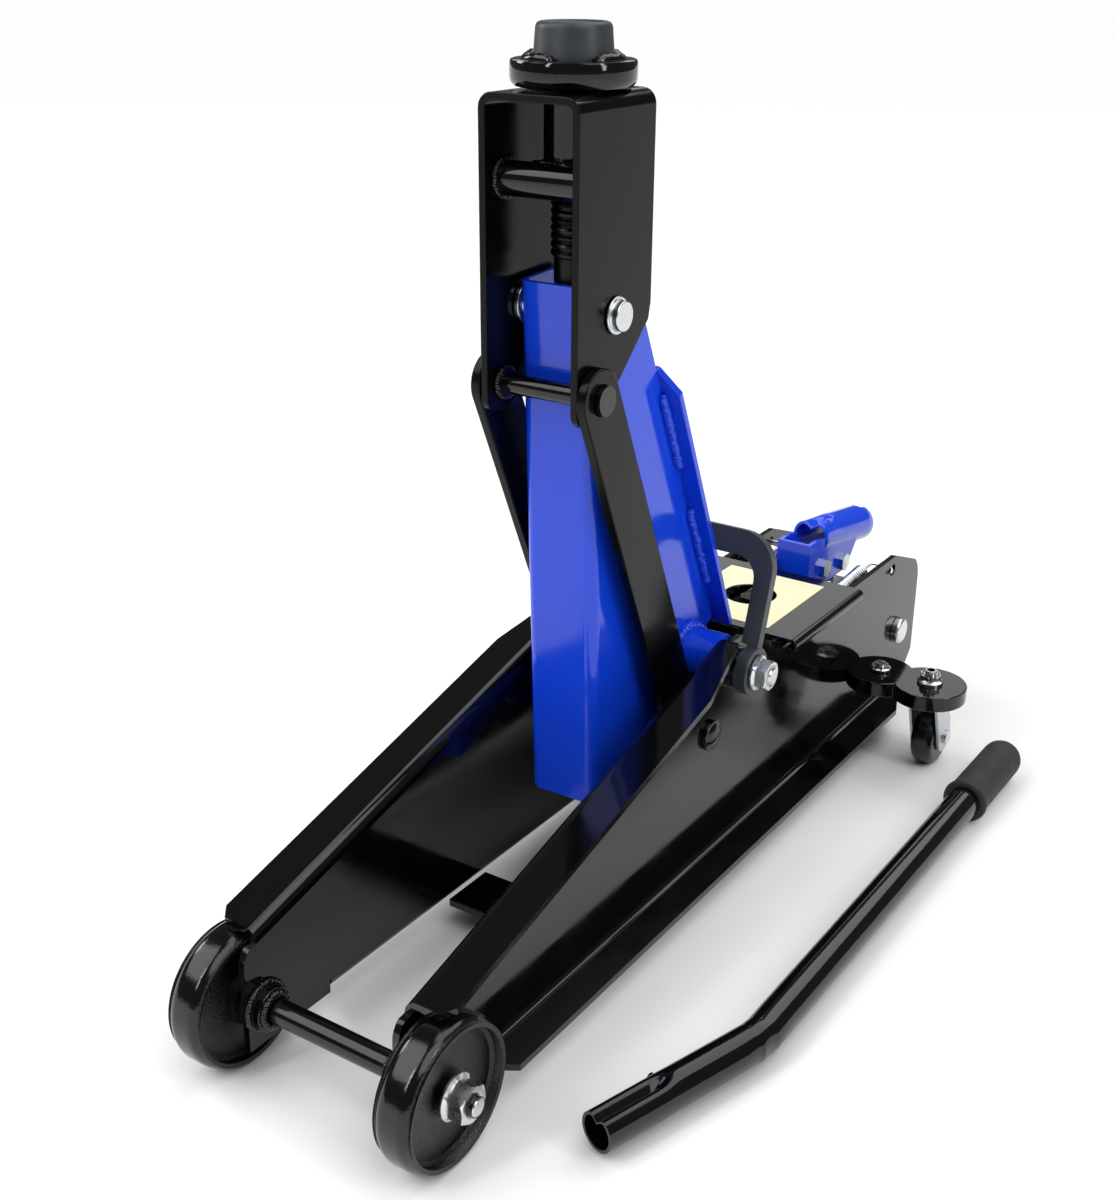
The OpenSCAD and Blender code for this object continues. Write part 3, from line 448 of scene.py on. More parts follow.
def grown(name, tree, start, sizes, body, slot, finish, *replaced, place=None):
    """Runs a tree on a starting mesh and keeps the result as a plain piece."""
    seed = bpy.data.objects.new(name, start)
    bpy.context.collection.objects.link(seed)
    modifier = seed.modifiers.new("growth", "NODES")
    modifier.node_group = tree
    for size, value in sizes.items():
        size_input(modifier, tree, size, value)
    size_input(modifier, tree, "Finish", finish)
    mesh = bpy.data.meshes.new_from_object(seed.evaluated_get(bpy.context.evaluated_depsgraph_get()))
    seed.modifiers.clear()
    seed.data = mesh
    if place is not None:
        mesh.transform(place)
    return settle(seed, body, slot, finish, *replaced)


def path_mesh(name, *lines):
    """Open or closed lines of points as a mesh of edges, for a tree to follow."""
    verts, edges = [], []
    for points, closed in lines:
        first = len(verts)
        verts += [tuple(p) for p in points]
        edges += [(first + i, first + i + 1) for i in range(len(points) - 1)]
        if closed:
            edges.append((len(verts) - 1, first))
    mesh = bpy.data.meshes.new(name)
    mesh.from_pydata(verts, edges, [])
    return mesh


def ring_points(centre, axis, radius, count):
    """Points of a circle round an axis."""
    along = Vector(axis)
    side = along.orthogonal().normalized()
    other = along.cross(side)
    angles = [2 * math.pi * k / count for k in range(count)]
    return [Vector(centre) + (side * math.cos(t) + other * math.sin(t)) * radius for t in angles]


# %% [markdown]
# ## Folded sheet steel
# The side plates, the lifting head, the arm and the link bars are cut and folded sheet. Cut edges are
# never knife sharp: paint pulls back from them and leaves a thin bright line. The solids are the right
# shape, so each gets a copy with a small bevel on its edges, which is what catches the light.

# %% Soften the sheet metal
# edge width in mm, the finish where it isn't the slot's own, and the solids
EDGES = ((0.7, None, ("side_plate_left", "side_plate_right")),
         (0.7, thin_black, ("lift_head", "link_bars")),
         (0.5, None, ("front_tie_plate", "rear_tie_plate", "arm_channel", "arm_back_plate")),
         (0.8, None, ("socket_bracket", "arm_levers", "ram_crosshead")),
         (0.3, dull_zinc, ("caster_fork_left", "caster_fork_right")),
         (1.2, None, ("pump_block",)), (1.6, None, ("carry_handle",)), (0.4, None, ("cover_plate",)),
         (3.0, thick_black, ("caster_bracket_left", "caster_bracket_right")),
         (0.5, None, ("trunnion_bolts", "head_pivot_pin", "link_pivot_pins", "pivot_bosses",
                      "axle_collars")))
for width, finish, nodes in EDGES:
    for node in nodes:
        softened(node, width, finish)

# %% [markdown]
# ## Weld beads
# The pivot tube, the back plate, the axle collars and the head's crossbar are welded on. A weld is a
# row of overlapping puddles, each a flattened drop. Geometry Nodes suits it: the tree resamples a path
# at the puddle spacing, drops a squashed ball at each point, varies its size with a fixed seed and makes
# the result real.

# %% Weld tree
PUDDLE_STEP = 0.75                      # from one puddle to the next, in radii
bead_tree, bead_in = new_growth("weld bead", {"Spacing": 0.003, "Radius": 0.003})
bead_path = add_node(bead_tree, "GeometryNodeMeshToCurve", None, {"Mesh": bead_in.outputs["Geometry"]})
bead_steps = add_node(bead_tree, "GeometryNodeResampleCurve", {"mode": "LENGTH"},
                      {"Curve": bead_path.outputs["Curve"], "Length": bead_in.outputs["Spacing"]})
puddle = add_node(bead_tree, "GeometryNodeMeshIcoSphere", None,
                  {"Radius": bead_in.outputs["Radius"], "Subdivisions": 3})
vary = add_node(bead_tree, "FunctionNodeRandomValue", {"data_type": "FLOAT_VECTOR"},
                {0: (0.75, 0.8, 0.75), 1: (1.15, 1.2, 1.2), "Seed": 7})
beads = add_node(bead_tree, "GeometryNodeInstanceOnPoints", None,
                 {"Points": bead_steps.outputs["Curve"], "Instance": puddle.outputs["Mesh"],
                  "Scale": vary.outputs[0]})
end_growth(bead_tree, bead_in, beads.outputs["Instances"])


def weld(name, body, slot, finish, radius_mm, *lines):
    """Puddles along open or closed lines of points."""
    radius = radius_mm * MM
    sizes = {"Spacing": radius * PUDDLE_STEP, "Radius": radius}
    piece = grown(name, bead_tree, path_mesh(name, *lines), sizes, body, slot, finish)
    print(name + ":", len(lines), "runs,", len(piece.data.polygons), "faces")


# %% [markdown]
# The arm has two kinds of weld. A ring joins the pivot tube to each side of the channel, and two short
# stitches on each side hold the back plate. Both paths come from the solids' own boxes.

# %% Welds on the arm
channel_low, channel_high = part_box("arm_channel")
tube_mid = middle("arm_pivot_tube")
ring_radius = extent("arm_pivot_tube").z / 2 + 0.8 * MM
TUBE_WELD_OUT = 1.5 * MM                # how far the ring stands off the channel's side
tube_rings = [(ring_points((x, tube_mid.y, tube_mid.z), (1, 0, 0), ring_radius, 60), True)
              for x in (channel_low.x - TUBE_WELD_OUT, channel_high.x + TUBE_WELD_OUT)]
weld("pivot_tube_welds", "arm", "blue_paint", gloss_blue, 3.4, *tube_rings)

plate_low, plate_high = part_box("arm_back_plate")
plate_top = Vector((0, plate_low.y, plate_high.z))
plate_foot = Vector((0, plate_high.y, plate_low.z))
STITCHES = ((0.10, 0.34), (0.52, 0.80))  # where each stitch starts and ends, as shares of the plate
STITCH_POINTS = 13
seam = Vector((1.6, -2.8, -1.0)) * MM   # from the channel's corner to the middle of the bead
stitches = []
for x, side in ((channel_low.x, -1), (channel_high.x, 1)):
    for start, end in STITCHES:
        shares = [start + (end - start) * k / (STITCH_POINTS - 1) for k in range(STITCH_POINTS)]
        points = [plate_top.lerp(plate_foot, share) for share in shares]
        stitches.append(([Vector((x + side * seam.x, p.y + seam.y, p.z + seam.z)) for p in points], False))
weld("back_plate_welds", "arm", "blue_paint", gloss_blue, 3.1, *stitches)

# %% [markdown]
# On the frame, each axle collar has a ring of weld at the side plate and a smaller one at its mouth. In
# the head, the crossbar and the links' rod are welded to both sides, and a short run above and below
# joins the crossbar to the screw's sleeve.

# %% Welds on the frame and the head
axle = middle("front_axle")
collar_radius = extent("axle_collars").z / 2
right_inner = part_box("side_plate_right")[0].x
left_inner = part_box("side_plate_left")[1].x
collar_rings = []
for x, inwards in ((right_inner, -1), (left_inner, 1)):
    foot = (x + inwards * 1.0 * MM, axle.y, axle.z)
    mouth = (x + inwards * 8.4 * MM, axle.y, axle.z)
    collar_rings.append((ring_points(foot, (1, 0, 0), collar_radius + 0.6 * MM, 50), True))
    collar_rings.append((ring_points(mouth, (1, 0, 0), collar_radius - 3.4 * MM, 40), True))
weld("axle_welds", "frame", "black_paint", thick_black, 2.0, *collar_rings)

crossbar = middle("head_crossbar")
crossbar_radius = extent("head_crossbar").z / 2
cross_rod = middle("link_cross_rod")
CROSS_ROD_WELD = 7.4 * MM
HEAD_SHEET = 5.2 * MM                   # from the head's outside to the middle of the weld inside it
SEAM_HALF = 13                          # mm, half of the short run at the sleeve
head_low, head_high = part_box("lift_head")
head_lines = []
for x in (head_low.x + HEAD_SHEET, head_high.x - HEAD_SHEET):
    head_lines.append((ring_points((x, crossbar.y, crossbar.z), (1, 0, 0), crossbar_radius + 0.3 * MM, 40),
                       True))
    head_lines.append((ring_points((x, cross_rod.y, cross_rod.z), (1, 0, 0), CROSS_ROD_WELD, 36), True))
seam_y = (crossbar.y + crossbar_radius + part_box("screw_sleeve")[0].y) / 2
for up in (1, -1):
    seam_z = crossbar.z + up * crossbar_radius * 0.78
    head_lines.append(([Vector((crossbar.x + t * MM, seam_y, seam_z))
                        for t in range(-SEAM_HALF, SEAM_HALF + 1)], False))
weld("head_welds", "head", "black_paint", thick_black, 2.1, *head_lines)

# %% [markdown]
# ## Springs and thread
# A coil spring and a screw thread are the same shape: a small section drawn along a helix. One tree
# draws a spiral, sweeps a round section along it and closes the ends. With few sides and a large wire
# the same section makes the crests of a thread.

# %% Coil tree
coil_tree, coil_in = new_growth("coil", {"Turns": 10.0, "Radius": 0.01, "Height": 0.1, "Wire": 0.001,
                                         "Sides": 10.0})
spiral = add_node(coil_tree, "GeometryNodeCurveSpiral", None,
                  {"Resolution": 28, "Rotations": coil_in.outputs["Turns"],
                   "Start Radius": coil_in.outputs["Radius"], "End Radius": coil_in.outputs["Radius"],
                   "Height": coil_in.outputs["Height"]})
section = add_node(coil_tree, "GeometryNodeCurvePrimitiveCircle", None,
                   {"Resolution": coil_in.outputs["Sides"], "Radius": coil_in.outputs["Wire"]})
even_twist = add_node(coil_tree, "GeometryNodeSetCurveNormal", None, {"Curve": spiral.outputs["Curve"]})
coil_wire = add_node(coil_tree, "GeometryNodeCurveToMesh", None,
                     {"Curve": even_twist.outputs["Curve"], "Profile Curve": section.outputs["Curve"],
                      "Fill Caps": True})
end_growth(coil_tree, coil_in, coil_wire.outputs["Mesh"])


def coil(name, start, end, radius, wire, turns, body, slot, finish, *replaced, sides=10):
    """A helix from one point to another."""
    run = Vector(end) - Vector(start)
    turn = run.to_track_quat("Z", "Y").to_matrix().to_4x4()
    sizes = {"Turns": float(turns), "Radius": radius, "Height": run.length, "Wire": wire,
             "Sides": float(sides)}
    return grown(name, coil_tree, bpy.data.meshes.new(name), sizes, body, slot, finish, *replaced,
                 place=Matrix.Translation(Vector(start)) @ turn)


def joined(main, *others):
    """Adds other pieces' meshes to a piece."""
    bm = bmesh.new()
    bm.from_mesh(main.data)
    for other in others:
        bm.from_mesh(other.data)
        bpy.data.objects.remove(other)
    bm.to_mesh(main.data)
    bm.free()
    return main


def wire_along(bm, points, radius, sides=10):
    """Round wire through a row of points."""
    rings = []
    for i, point in enumerate(points):
        ahead = (points[min(i + 1, len(points) - 1)] - points[max(i - 1, 0)]).normalized()
        side = ahead.orthogonal().normalized() if i == 0 else (last - ahead * last.dot(ahead)).normalized()
        last = side
        other = ahead.cross(side)
        rings.append([point + (side * math.cos(t) + other * math.sin(t)) * radius
                      for t in (2 * math.pi * k / sides for k in range(sides))])
    stretch_skin(bm, rings)


# %% [markdown]
# Two return springs pull the arm down when the valve is opened. Each runs from the ram's crosshead to a
# hole in a side plate, close coils with a straight end at the front and a hook at the rear. The front
# end travels with the ram; the piece itself rides on the frame.

# %% Return springs
SPRING_WIRE = 1.15 * MM
SPRING_TURNS = 74
SPRING_R = 4.6 * MM
AXIS_IN = 5.5 * MM                      # from the solid's inner side to the coil's axis
HOOK_PAST_PLATE = 5.0                   # mm that the rear hook reaches past the plate's inner face
for side, outer in (("left", -1), ("right", 1)):
    node = "return_spring_" + side
    low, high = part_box(node)
    axis_x = high.x - AXIS_IN if side == "left" else low.x + AXIS_IN
    reach_x = (left_inner - axis_x if side == "left" else axis_x - right_inner) / MM
    front = Vector((axis_x, low.y, low.z + 5.0 * MM))
    rear = Vector((axis_x, high.y - 1.2 * MM, high.z - 1.6 * MM))
    run = rear - front
    along = run.normalized()
    coil_start = front + along * 24 * MM
    coil_end = rear - along * 18 * MM
    spring = coil(node + "_coil", coil_start, coil_end, SPRING_R, SPRING_WIRE, SPRING_TURNS, "frame",
                  "zinc_plate", bright_zinc, node)
    through = abs(reach_x) + HOOK_PAST_PLATE
    hook = [coil_end, coil_end + along * 6 * MM, rear - along * 5 * MM]
    hook += [rear + Vector((outer * t * through, 0, 0)) * MM for t in (0.05, 0.4, 0.7, 0.9)]
    hook += [rear + Vector((outer * through, -1.5, -1.5)) * MM,
             rear + Vector((outer * (through + 0.5), -5, -3)) * MM]
    bm = bmesh.new()
    wire_along(bm, [front, front + along * 20 * MM, coil_start], SPRING_WIRE)
    wire_along(bm, hook, SPRING_WIRE)
    joined(spring, piece_from("ends", bm))
    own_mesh(spring)

# %% [markdown]
# A short stiff spring stands round the pump's plunger and lifts it after each stroke. The plunger moves
# and the spring stays with the frame, so the spring stops short of the plunger's head.

# %% Pump spring
PUMP_TRAVEL = 2.7 * MM                  # room for the plunger's head to come down
END_GAP = 1 * MM
low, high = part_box("pump_spring")
spot = (low + high) / 2
spring_foot = (spot.x, spot.y, low.z + END_GAP)
spring_head = (spot.x, spot.y, high.z - END_GAP - PUMP_TRAVEL)
coil("pump_spring_coil", spring_foot, spring_head, 7.4 * MM, 1.0 * MM, 4, "frame", "zinc_plate",
     bright_zinc, "pump_spring")
print("room left above the pump spring in mm:", round(PUMP_TRAVEL / MM, 1))

# %% [markdown]
# The lift screw is a bare rod with a coarse round thread. The rod is turned, and the thread is the same
# coil with eight sides, sunk into it so that only its crest shows.

# %% Lift screw
THREAD_DEPTH = 2.0 * MM
THREAD_PITCH = 4.2 * MM
NECK_R = 8 * MM                         # the plain top that carries the saddle
low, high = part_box("lift_screw")
spot = (low + high) / 2
core = (high.x - low.x) / 2 - THREAD_DEPTH
thread_low, thread_high = low.z + 13 * MM, high.z - 12 * MM
bm = bmesh.new()
turned(bm, [(core - 1 * MM, low.z), (core, low.z + 1 * MM), (core, high.z - 9.8 * MM),
            (NECK_R, high.z - 9.3 * MM), (NECK_R, high.z - 0.4 * MM), (NECK_R - 0.4 * MM, high.z)],
       (spot.x, spot.y, 0), (0, 0, 1))
outward(bm)
rod = piece_from("rod", bm)
screw = coil("lift_screw_thread", (spot.x, spot.y, thread_low), (spot.x, spot.y, thread_high),
             core - 0.1 * MM, 1.9 * MM, (thread_high - thread_low) / THREAD_PITCH, "screw", "bare_steel",
             oiled_steel, "lift_screw", sides=8)
joined(screw, rod)
print("turns of thread:", round((thread_high - thread_low) / THREAD_PITCH, 1))

# %% [markdown]
# ## Nuts and bolt ends
# The nuts are flange nuts: a hexagon with its corners turned off, standing on a wide washer face. The
# hexagon's radius changes with the angle, so a ring of points can follow it, and the chamfer is a cone
# that cuts the corners only. The same function adds the plain bolt end that shows in each nut.

# %% Nut shape
CORNER_CUT = 0.985                      # the chamfer starts at this share of half the flats
CHAMFER_SLOPE = 0.6
FLANGE_FOOT, FLANGE_EDGE, FLANGE_TOP, HEX_FROM = 0.5 * MM, 1.6 * MM, 2.6 * MM, 3.0 * MM


def hex_radius(flats, angle):
    """Distance from the middle of a hexagon to its side, at an angle."""
    folded = (angle + math.pi / 6) % (math.pi / 3) - math.pi / 6
    return flats / 2 / math.cos(folded)


def add_nut(bm, spot, axis, sizes_mm, turn, steps=72):
    """One nut on its bolt's end. Sizes: across flats, height, flange, bolt, how far the bolt sticks out."""
    flats, height, flange, bolt, bolt_out = (size * MM for size in sizes_mm)
    along = Vector(axis).normalized()
    side = along.orthogonal().normalized()
    other = along.cross(side)
    corner = flats / 2 * CORNER_CUT

    def ring(radius_at, depth_at):
        points = []
        for k in range(steps):
            t = 2 * math.pi * k / steps
            r = radius_at(t)
            points.append(Vector(spot) + (side * math.cos(t + turn) + other * math.sin(t + turn)) * r
                          + along * depth_at(r))
        return points

    wide = flange / 2
    rings = [ring(lambda t: wide - 0.4 * MM, lambda r: 0.0),
             ring(lambda t: wide, lambda r: FLANGE_FOOT),
             ring(lambda t: wide, lambda r: FLANGE_EDGE),
             ring(lambda t: max(hex_radius(flats, t) + 0.3 * MM, wide - 1.6 * MM), lambda r: FLANGE_TOP),
             ring(lambda t: hex_radius(flats, t), lambda r: HEX_FROM),
             ring(lambda t: hex_radius(flats, t), lambda r: height - max(0.0, r - corner) * CHAMFER_SLOPE),
             ring(lambda t: corner, lambda r: height),
             ring(lambda t: bolt / 2 + 1.2 * MM, lambda r: height),
             ring(lambda t: bolt / 2, lambda r: height - 0.8 * MM)]
    stretch_skin(bm, rings)
    thread_r = bolt / 2 - 0.15 * MM
    end = height + bolt_out
    turned(bm, [(thread_r, height - 1.2 * MM), (thread_r, end - 1 * MM), (bolt / 2 - 1.1 * MM, end),
                (bolt / 2 * 0.3, end)], spot, along, 36)


def nut_piece(name, nuts, *replaced):
    """A set of nuts as one piece on the frame; each is (spot, axis, sizes, turn)."""
    bm = bmesh.new()
    for nut in nuts:
        add_nut(bm, *nut)
    outward(bm)
    settle(piece_from(name, bm), "frame", "zinc_plate", bright_zinc, *replaced, sharp=math.radians(28))
    print(name + ":", len(nuts))


# %% [markdown]
# Four flange nuts hold the two axles. The two on one axle never line up, so each has its own turn.
# The main axle itself is a plain rod with chamfered ends, seen in the middle of its nuts.

# %% Axle nuts and the main axle
WHEEL_NUT = (19, 12, 25, 11, 3)
MAIN_NUT = (17.5, 10, 22, 11.5, 1.5)
MAIN_AXLE_R = 7 * MM
axle_low, axle_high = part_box("axle_nuts")
wheel_nut = WHEEL_NUT[1] * MM
nut_piece("wheel_nuts", [
    ((axle_high.x - wheel_nut, axle.y, axle.z), (1, 0, 0), WHEEL_NUT, 0.3),
    ((axle_low.x + wheel_nut, axle.y, axle.z), (-1, 0, 0), WHEEL_NUT, 0.5)], "axle_nuts")
low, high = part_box("main_axle_nuts")
spot = middle("main_axle")
main_nut = MAIN_NUT[1] * MM
nut_piece("main_axle_flange_nuts", [
    ((high.x - main_nut, spot.y, spot.z), (1, 0, 0), MAIN_NUT, 0.2),
    ((low.x + main_nut, spot.y, spot.z), (-1, 0, 0), MAIN_NUT, 0.5)], "main_axle_nuts", "main_axle")
bm = bmesh.new()
turned(bm, [(MAIN_AXLE_R - 1 * MM, low.x + 4 * MM), (MAIN_AXLE_R, low.x + 5 * MM),
            (MAIN_AXLE_R, high.x - 5 * MM), (MAIN_AXLE_R - 1 * MM, high.x - 4 * MM)],
       (0, spot.y, spot.z), (1, 0, 0), 48)
outward(bm)
settle(piece_from("main_axle_rod", bm), "frame", "zinc_plate", bright_zinc)

# %% [markdown]
# Each caster hangs from two joined discs of plate. A flange nut holds the swivel in the outer disc, and
# a lower nut stands on the inner disc.

# %% Caster nuts
SWIVEL_NUT = (12.5, 7, 18, 8, 3)
BRACKET_BOLT = (11, 3.2, 15, 7, 2)
SWIVEL_IN = 16 * MM                     # from the fork's near end to the swivel's axis
BOLT_OUT = 21 * MM                      # from the side plate to the inner bolt
PLATE_SHEET = 4 * MM
bracket_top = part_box("caster_bracket_right")[1].z
caster_nuts = []
plate_outsides = (("left", -1, left_inner - PLATE_SHEET), ("right", 1, right_inner + PLATE_SHEET))
for side, sign, plate_x in plate_outsides:
    low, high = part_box("caster_fork_" + side)
    swivel = ((low.x + high.x) / 2, low.y + SWIVEL_IN, bracket_top)
    inner = (plate_x + sign * BOLT_OUT, low.y + SWIVEL_IN, bracket_top + 0.5 * MM)
    caster_nuts.append((swivel, (0, 0, 1), SWIVEL_NUT, 0.4))
    caster_nuts.append((inner, (0, 0, 1), BRACKET_BOLT, 0.9))
nut_piece("caster_bracket_nuts", caster_nuts)

# %% [markdown]
# ## Front wheels
# Each wheel is a dished casting with a narrow raised rim and a well rounded tread. It is turned from a
# profile whose corners are rounded by short arcs, so a highlight runs round it without a break.

# %% Front wheels
def round_corner(centre, radius, start, end, steps):
    """Points of an arc from one angle to another, in degrees."""
    angles = [math.radians(start + (end - start) * k / steps) for k in range(steps + 1)]
    return [(centre[0] + radius * math.cos(t), centre[1] + radius * math.sin(t)) for t in angles]


WHEEL_RIM = 2.6                         # mm, width of the raised rim
WHEEL_DISH = 6.5                        # mm, how deep each face is dished
WHEEL_BORE, WHEEL_HUB = 7.1, 14.0       # mm, radii
TREAD_ROUND = 7.5                       # mm, radius of the tread's corners
RIM_ROUND = 1.0


def wheel_profile(radius, width):
    """(radius, along) points of a dished wheel, from 0 at the inner face to width at the outer face."""
    rim_in = radius - WHEEL_RIM
    tread_in = radius - TREAD_ROUND
    outer_dish = width - WHEEL_DISH
    shape = [(WHEEL_BORE, 0.0), (WHEEL_HUB, 0.0), (WHEEL_HUB + 1, WHEEL_DISH * 0.9)]
    shape += [(rim_in - 4, WHEEL_DISH), (rim_in - 2.2, WHEEL_DISH - 1.2), (rim_in - 1, 0.8)]
    shape += round_corner((rim_in, RIM_ROUND), RIM_ROUND, 200, 270, 3)
    shape += round_corner((tread_in, TREAD_ROUND), TREAD_ROUND, 290, 360, 8)
    shape += round_corner((tread_in, width - TREAD_ROUND), TREAD_ROUND, 0, 70, 8)
    shape += round_corner((rim_in, width - RIM_ROUND), RIM_ROUND, 90, 160, 3)
    shape += [(rim_in - 1.6, width - 1.4), (rim_in - 2.6, outer_dish + 1.5)]
    shape += [(rim_in - 4.6, outer_dish), (WHEEL_HUB, outer_dish), (WHEEL_BORE, outer_dish)]
    return [(r * MM, a * MM) for r, a in shape]


TREAD_FROM_EDGE = 2.4                   # mm; faces nearer the edge than this are tread
for side, sign in (("left", -1), ("right", 1)):
    node = "front_wheel_" + side
    low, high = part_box(node)
    radius = (high.z - low.z) / 2 / MM
    width = (high.x - low.x) / MM
    inner_x = low.x if sign > 0 else high.x
    spot = middle(node)
    bm = bmesh.new()
    turned(bm, wheel_profile(radius, width), (inner_x, spot.y, spot.z), (sign, 0, 0), 120, closed=True)
    outward(bm)
    wheel = settle(piece_from(node + "_casting", bm), node, "wheel_paint", cast_black, node)
    wheel.data.materials.append(tread_black)
    for face in wheel.data.polygons:
        from_axle = math.hypot(face.center.y - spot.y, face.center.z - spot.z) / MM
        face.material_index = 1 if from_axle > radius - TREAD_FROM_EDGE else 0
print("wheel radius and width in mm:", round(radius, 1), round(width, 1))

# %% [markdown]
# ## Saddle
# The saddle is a turned cup with four lumps pressed up round its recess to hold a tapered rubber pad.
# The lumps are worn and uneven, so each is a short bent roll whose height wavers along its length, half
# sunk in the rim.

# %% Saddle cup and pad
LUG_FIRST = -11                         # degrees round the cup
LUG_HALF = 22                           # degrees from a lug's middle to its end
LUG_RINGS, LUG_SIDES = 15, 16
LUG_AT, LUG_WIDE, LUG_HIGH = 25.2 * MM, 3.4 * MM, 3.3 * MM
low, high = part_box("saddle_cup")
cup_mid = (low + high) / 2
cup_r = (high.x - low.x) / 2 / MM
cup_base = low.z
rim_h = (high.z - low.z) / MM - 3.5
cup = [(8.1, 0.2), (cup_r - 7, 0.0), (cup_r - 2.0, 1.2), (cup_r - 0.5, 3.0), (cup_r, 5.0),
       (cup_r, rim_h - 1.6), (cup_r - 0.5, rim_h - 0.4), (cup_r - 1.6, rim_h), (22.4, rim_h),
       (21.4, rim_h - 0.6), (21.3, rim_h - 4.0), (8.1, rim_h - 4.0)]
bm = bmesh.new()
turned(bm, [(r * MM, z * MM) for r, z in cup], (cup_mid.x, cup_mid.y, cup_base), (0, 0, 1), 96, closed=True)
for lug in range(4):
    lug_angle = math.radians(LUG_FIRST + 90 * lug)
    half = (LUG_RINGS - 1) // 2
    rings = []
    for k in range(LUG_RINGS):
        t = lug_angle + math.radians(-LUG_HALF + 2 * LUG_HALF * k / (LUG_RINGS - 1))
        lump = 1 - abs(k - half) ** 4 / half ** 4 * 0.75 + 0.10 * math.sin(k * 2.3 + lug)
        out = Vector((math.cos(t), math.sin(t), 0))
        centre = Vector((cup_mid.x, cup_mid.y, cup_base + rim_h * MM)) + out * LUG_AT
        angles = [math.pi * 2 * j / LUG_SIDES for j in range(LUG_SIDES)]
        rings.append([centre + out * (LUG_WIDE * math.cos(a))
                      + Vector((0, 0, LUG_HIGH * lump * math.sin(a) + 0.3 * MM)) for a in angles])
    stretch_skin(bm, rings)
outward(bm)
settle(piece_from("saddle_cup_turned", bm), "saddle", "black_paint", thick_black, "saddle_cup")

low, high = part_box("saddle_pad")
pad_h = (high.z - low.z) / MM
pad = [(0.0, 0.0), (20.6, 0.0), (20.8, 5.0), (20.3, 6.5), (19.4, pad_h - 3.2), (19.0, pad_h - 1.6),
       (18.2, pad_h - 0.5), (16.8, pad_h), (15.6, pad_h), (14.8, pad_h - 0.7), (13.8, pad_h - 0.9),
       (0.0, pad_h - 0.9)]
bm = bmesh.new()
turned(bm, [(r * MM + 1e-6, z * MM) for r, z in pad], (cup_mid.x, cup_mid.y, low.z), (0, 0, 1), 96)
bmesh.ops.remove_doubles(bm, verts=bm.verts, dist=1e-5)
outward(bm)
settle(piece_from("saddle_pad_moulded", bm), "saddle", "pad_rubber", pad_rubber, "saddle_pad")
print("cup radius and pad height in mm:", round(cup_r, 1), round(pad_h, 1))

# %% [markdown]
# ## Pump bar
# The bar is one steel tube, bent once, with its short tip pressed in along one side so that it can't
# turn in the socket. At the bend the tube flattens and creases a little on the inside. A tube is drawn as
# rings along its centre line; each ring's section may be dented as it goes.

# %% Pump bar's centre line
BAR_R = 11.0
BAR_WALL = 1.8
BEND = math.radians(17)
BEND_R = 40.0                           # mm, radius of the bend's centre line
LONG_LEN = 386                          # mm from the grip's end to the bend
SHORT_LEN = 113                         # mm from the bend to the tip
PRESS_FROM, PRESS_EASE = 62, 14         # mm along the short end where the dent starts, and its easing
LONG_STEPS, BEND_STEPS, SHORT_STEPS = 30, 16, 40
grip_low, grip_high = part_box("bar_grip")
bar_z = (grip_low.z + grip_high.z) / 2
long_x = (grip_low.x + grip_high.x) / 2
long_end = Vector((long_x, grip_high.y - 4 * MM, bar_z))
bend_at = Vector((long_x, grip_high.y - LONG_LEN * MM, bar_z))
short_way = Vector((-math.sin(BEND), -math.cos(BEND), 0))
reach = BEND_R * math.tan(BEND / 2)
bend_start = bend_at + Vector((0, reach * MM, 0))
bend_end = bend_at + short_way * reach * MM
tip = bend_at + short_way * SHORT_LEN * MM


def eased(share):
    """Slow at both ends, from 0 to 1."""
    held = min(max(share, 0), 1)
    return held * held * (3 - 2 * held)


stations = []                           # place, direction, how far pressed in, how far creased
for k in range(LONG_STEPS + 1):
    stations.append((long_end.lerp(bend_start, k / LONG_STEPS), Vector((0, -1, 0)), 0.0, 0.0))
for k in range(1, BEND_STEPS):
    t = BEND * k / BEND_STEPS
    spot = bend_at + Vector((-BEND_R * (1 - math.cos(t)), reach - BEND_R * math.sin(t), 0)) * MM
    way = Vector((-math.sin(t), -math.cos(t), 0))
    stations.append((spot, way, 0.0, math.sin(math.pi * k / BEND_STEPS)))
for k in range(SHORT_STEPS + 1):
    far = k / SHORT_STEPS
    travelled = reach + (SHORT_LEN - reach) * far
    pressed = eased((travelled - PRESS_FROM) / PRESS_EASE)
    stations.append((bend_end.lerp(tip, far), short_way, pressed, max(0.0, 0.6 - far * 6)))
print("stations along the bar:", len(stations))

# %% [markdown]
# Each ring is a circle with three soft bumps added to its radius: a deep one at the top where the tip is
# pressed in, a wide shallow one below it where the metal goes, and a crease on the inside of the bend.
# The tip end is open, so the skin turns back inside for the last stretch.

# %% Pump bar's skin
PRESS_DEPTH = 0.50                      # shares of the radius
PRESS_BULGE = 0.05
CREASE_DEPTH = 0.10
CREASE_WIDEN = 0.03
INNER_STATIONS = 22                     # how many stations the hollow end reaches back


def soft_bump(angle, at, spread):
    """1 at one angle, dying away within a spread, all in degrees."""
    return math.exp(-((math.degrees(angle) - at) / spread) ** 2)


def bar_ring(station, radius, steps=48):
    spot, way, pressed, creased = station
    side = way.cross(Vector((0, 0, 1)))
    ring = []
    for k in range(steps):
        t = 2 * math.pi * k / steps
        r = radius * (1 - PRESS_DEPTH * pressed * soft_bump(t, 90, 20)
                      + PRESS_BULGE * pressed * soft_bump(t, 270, 60)
                      - CREASE_DEPTH * creased * soft_bump(t, 180, 38))
        rise = r * (1 + CREASE_WIDEN * creased) * math.sin(t)
        ring.append(spot + side * (r * math.cos(t) * MM) + Vector((0, 0, rise * MM)))
    return ring


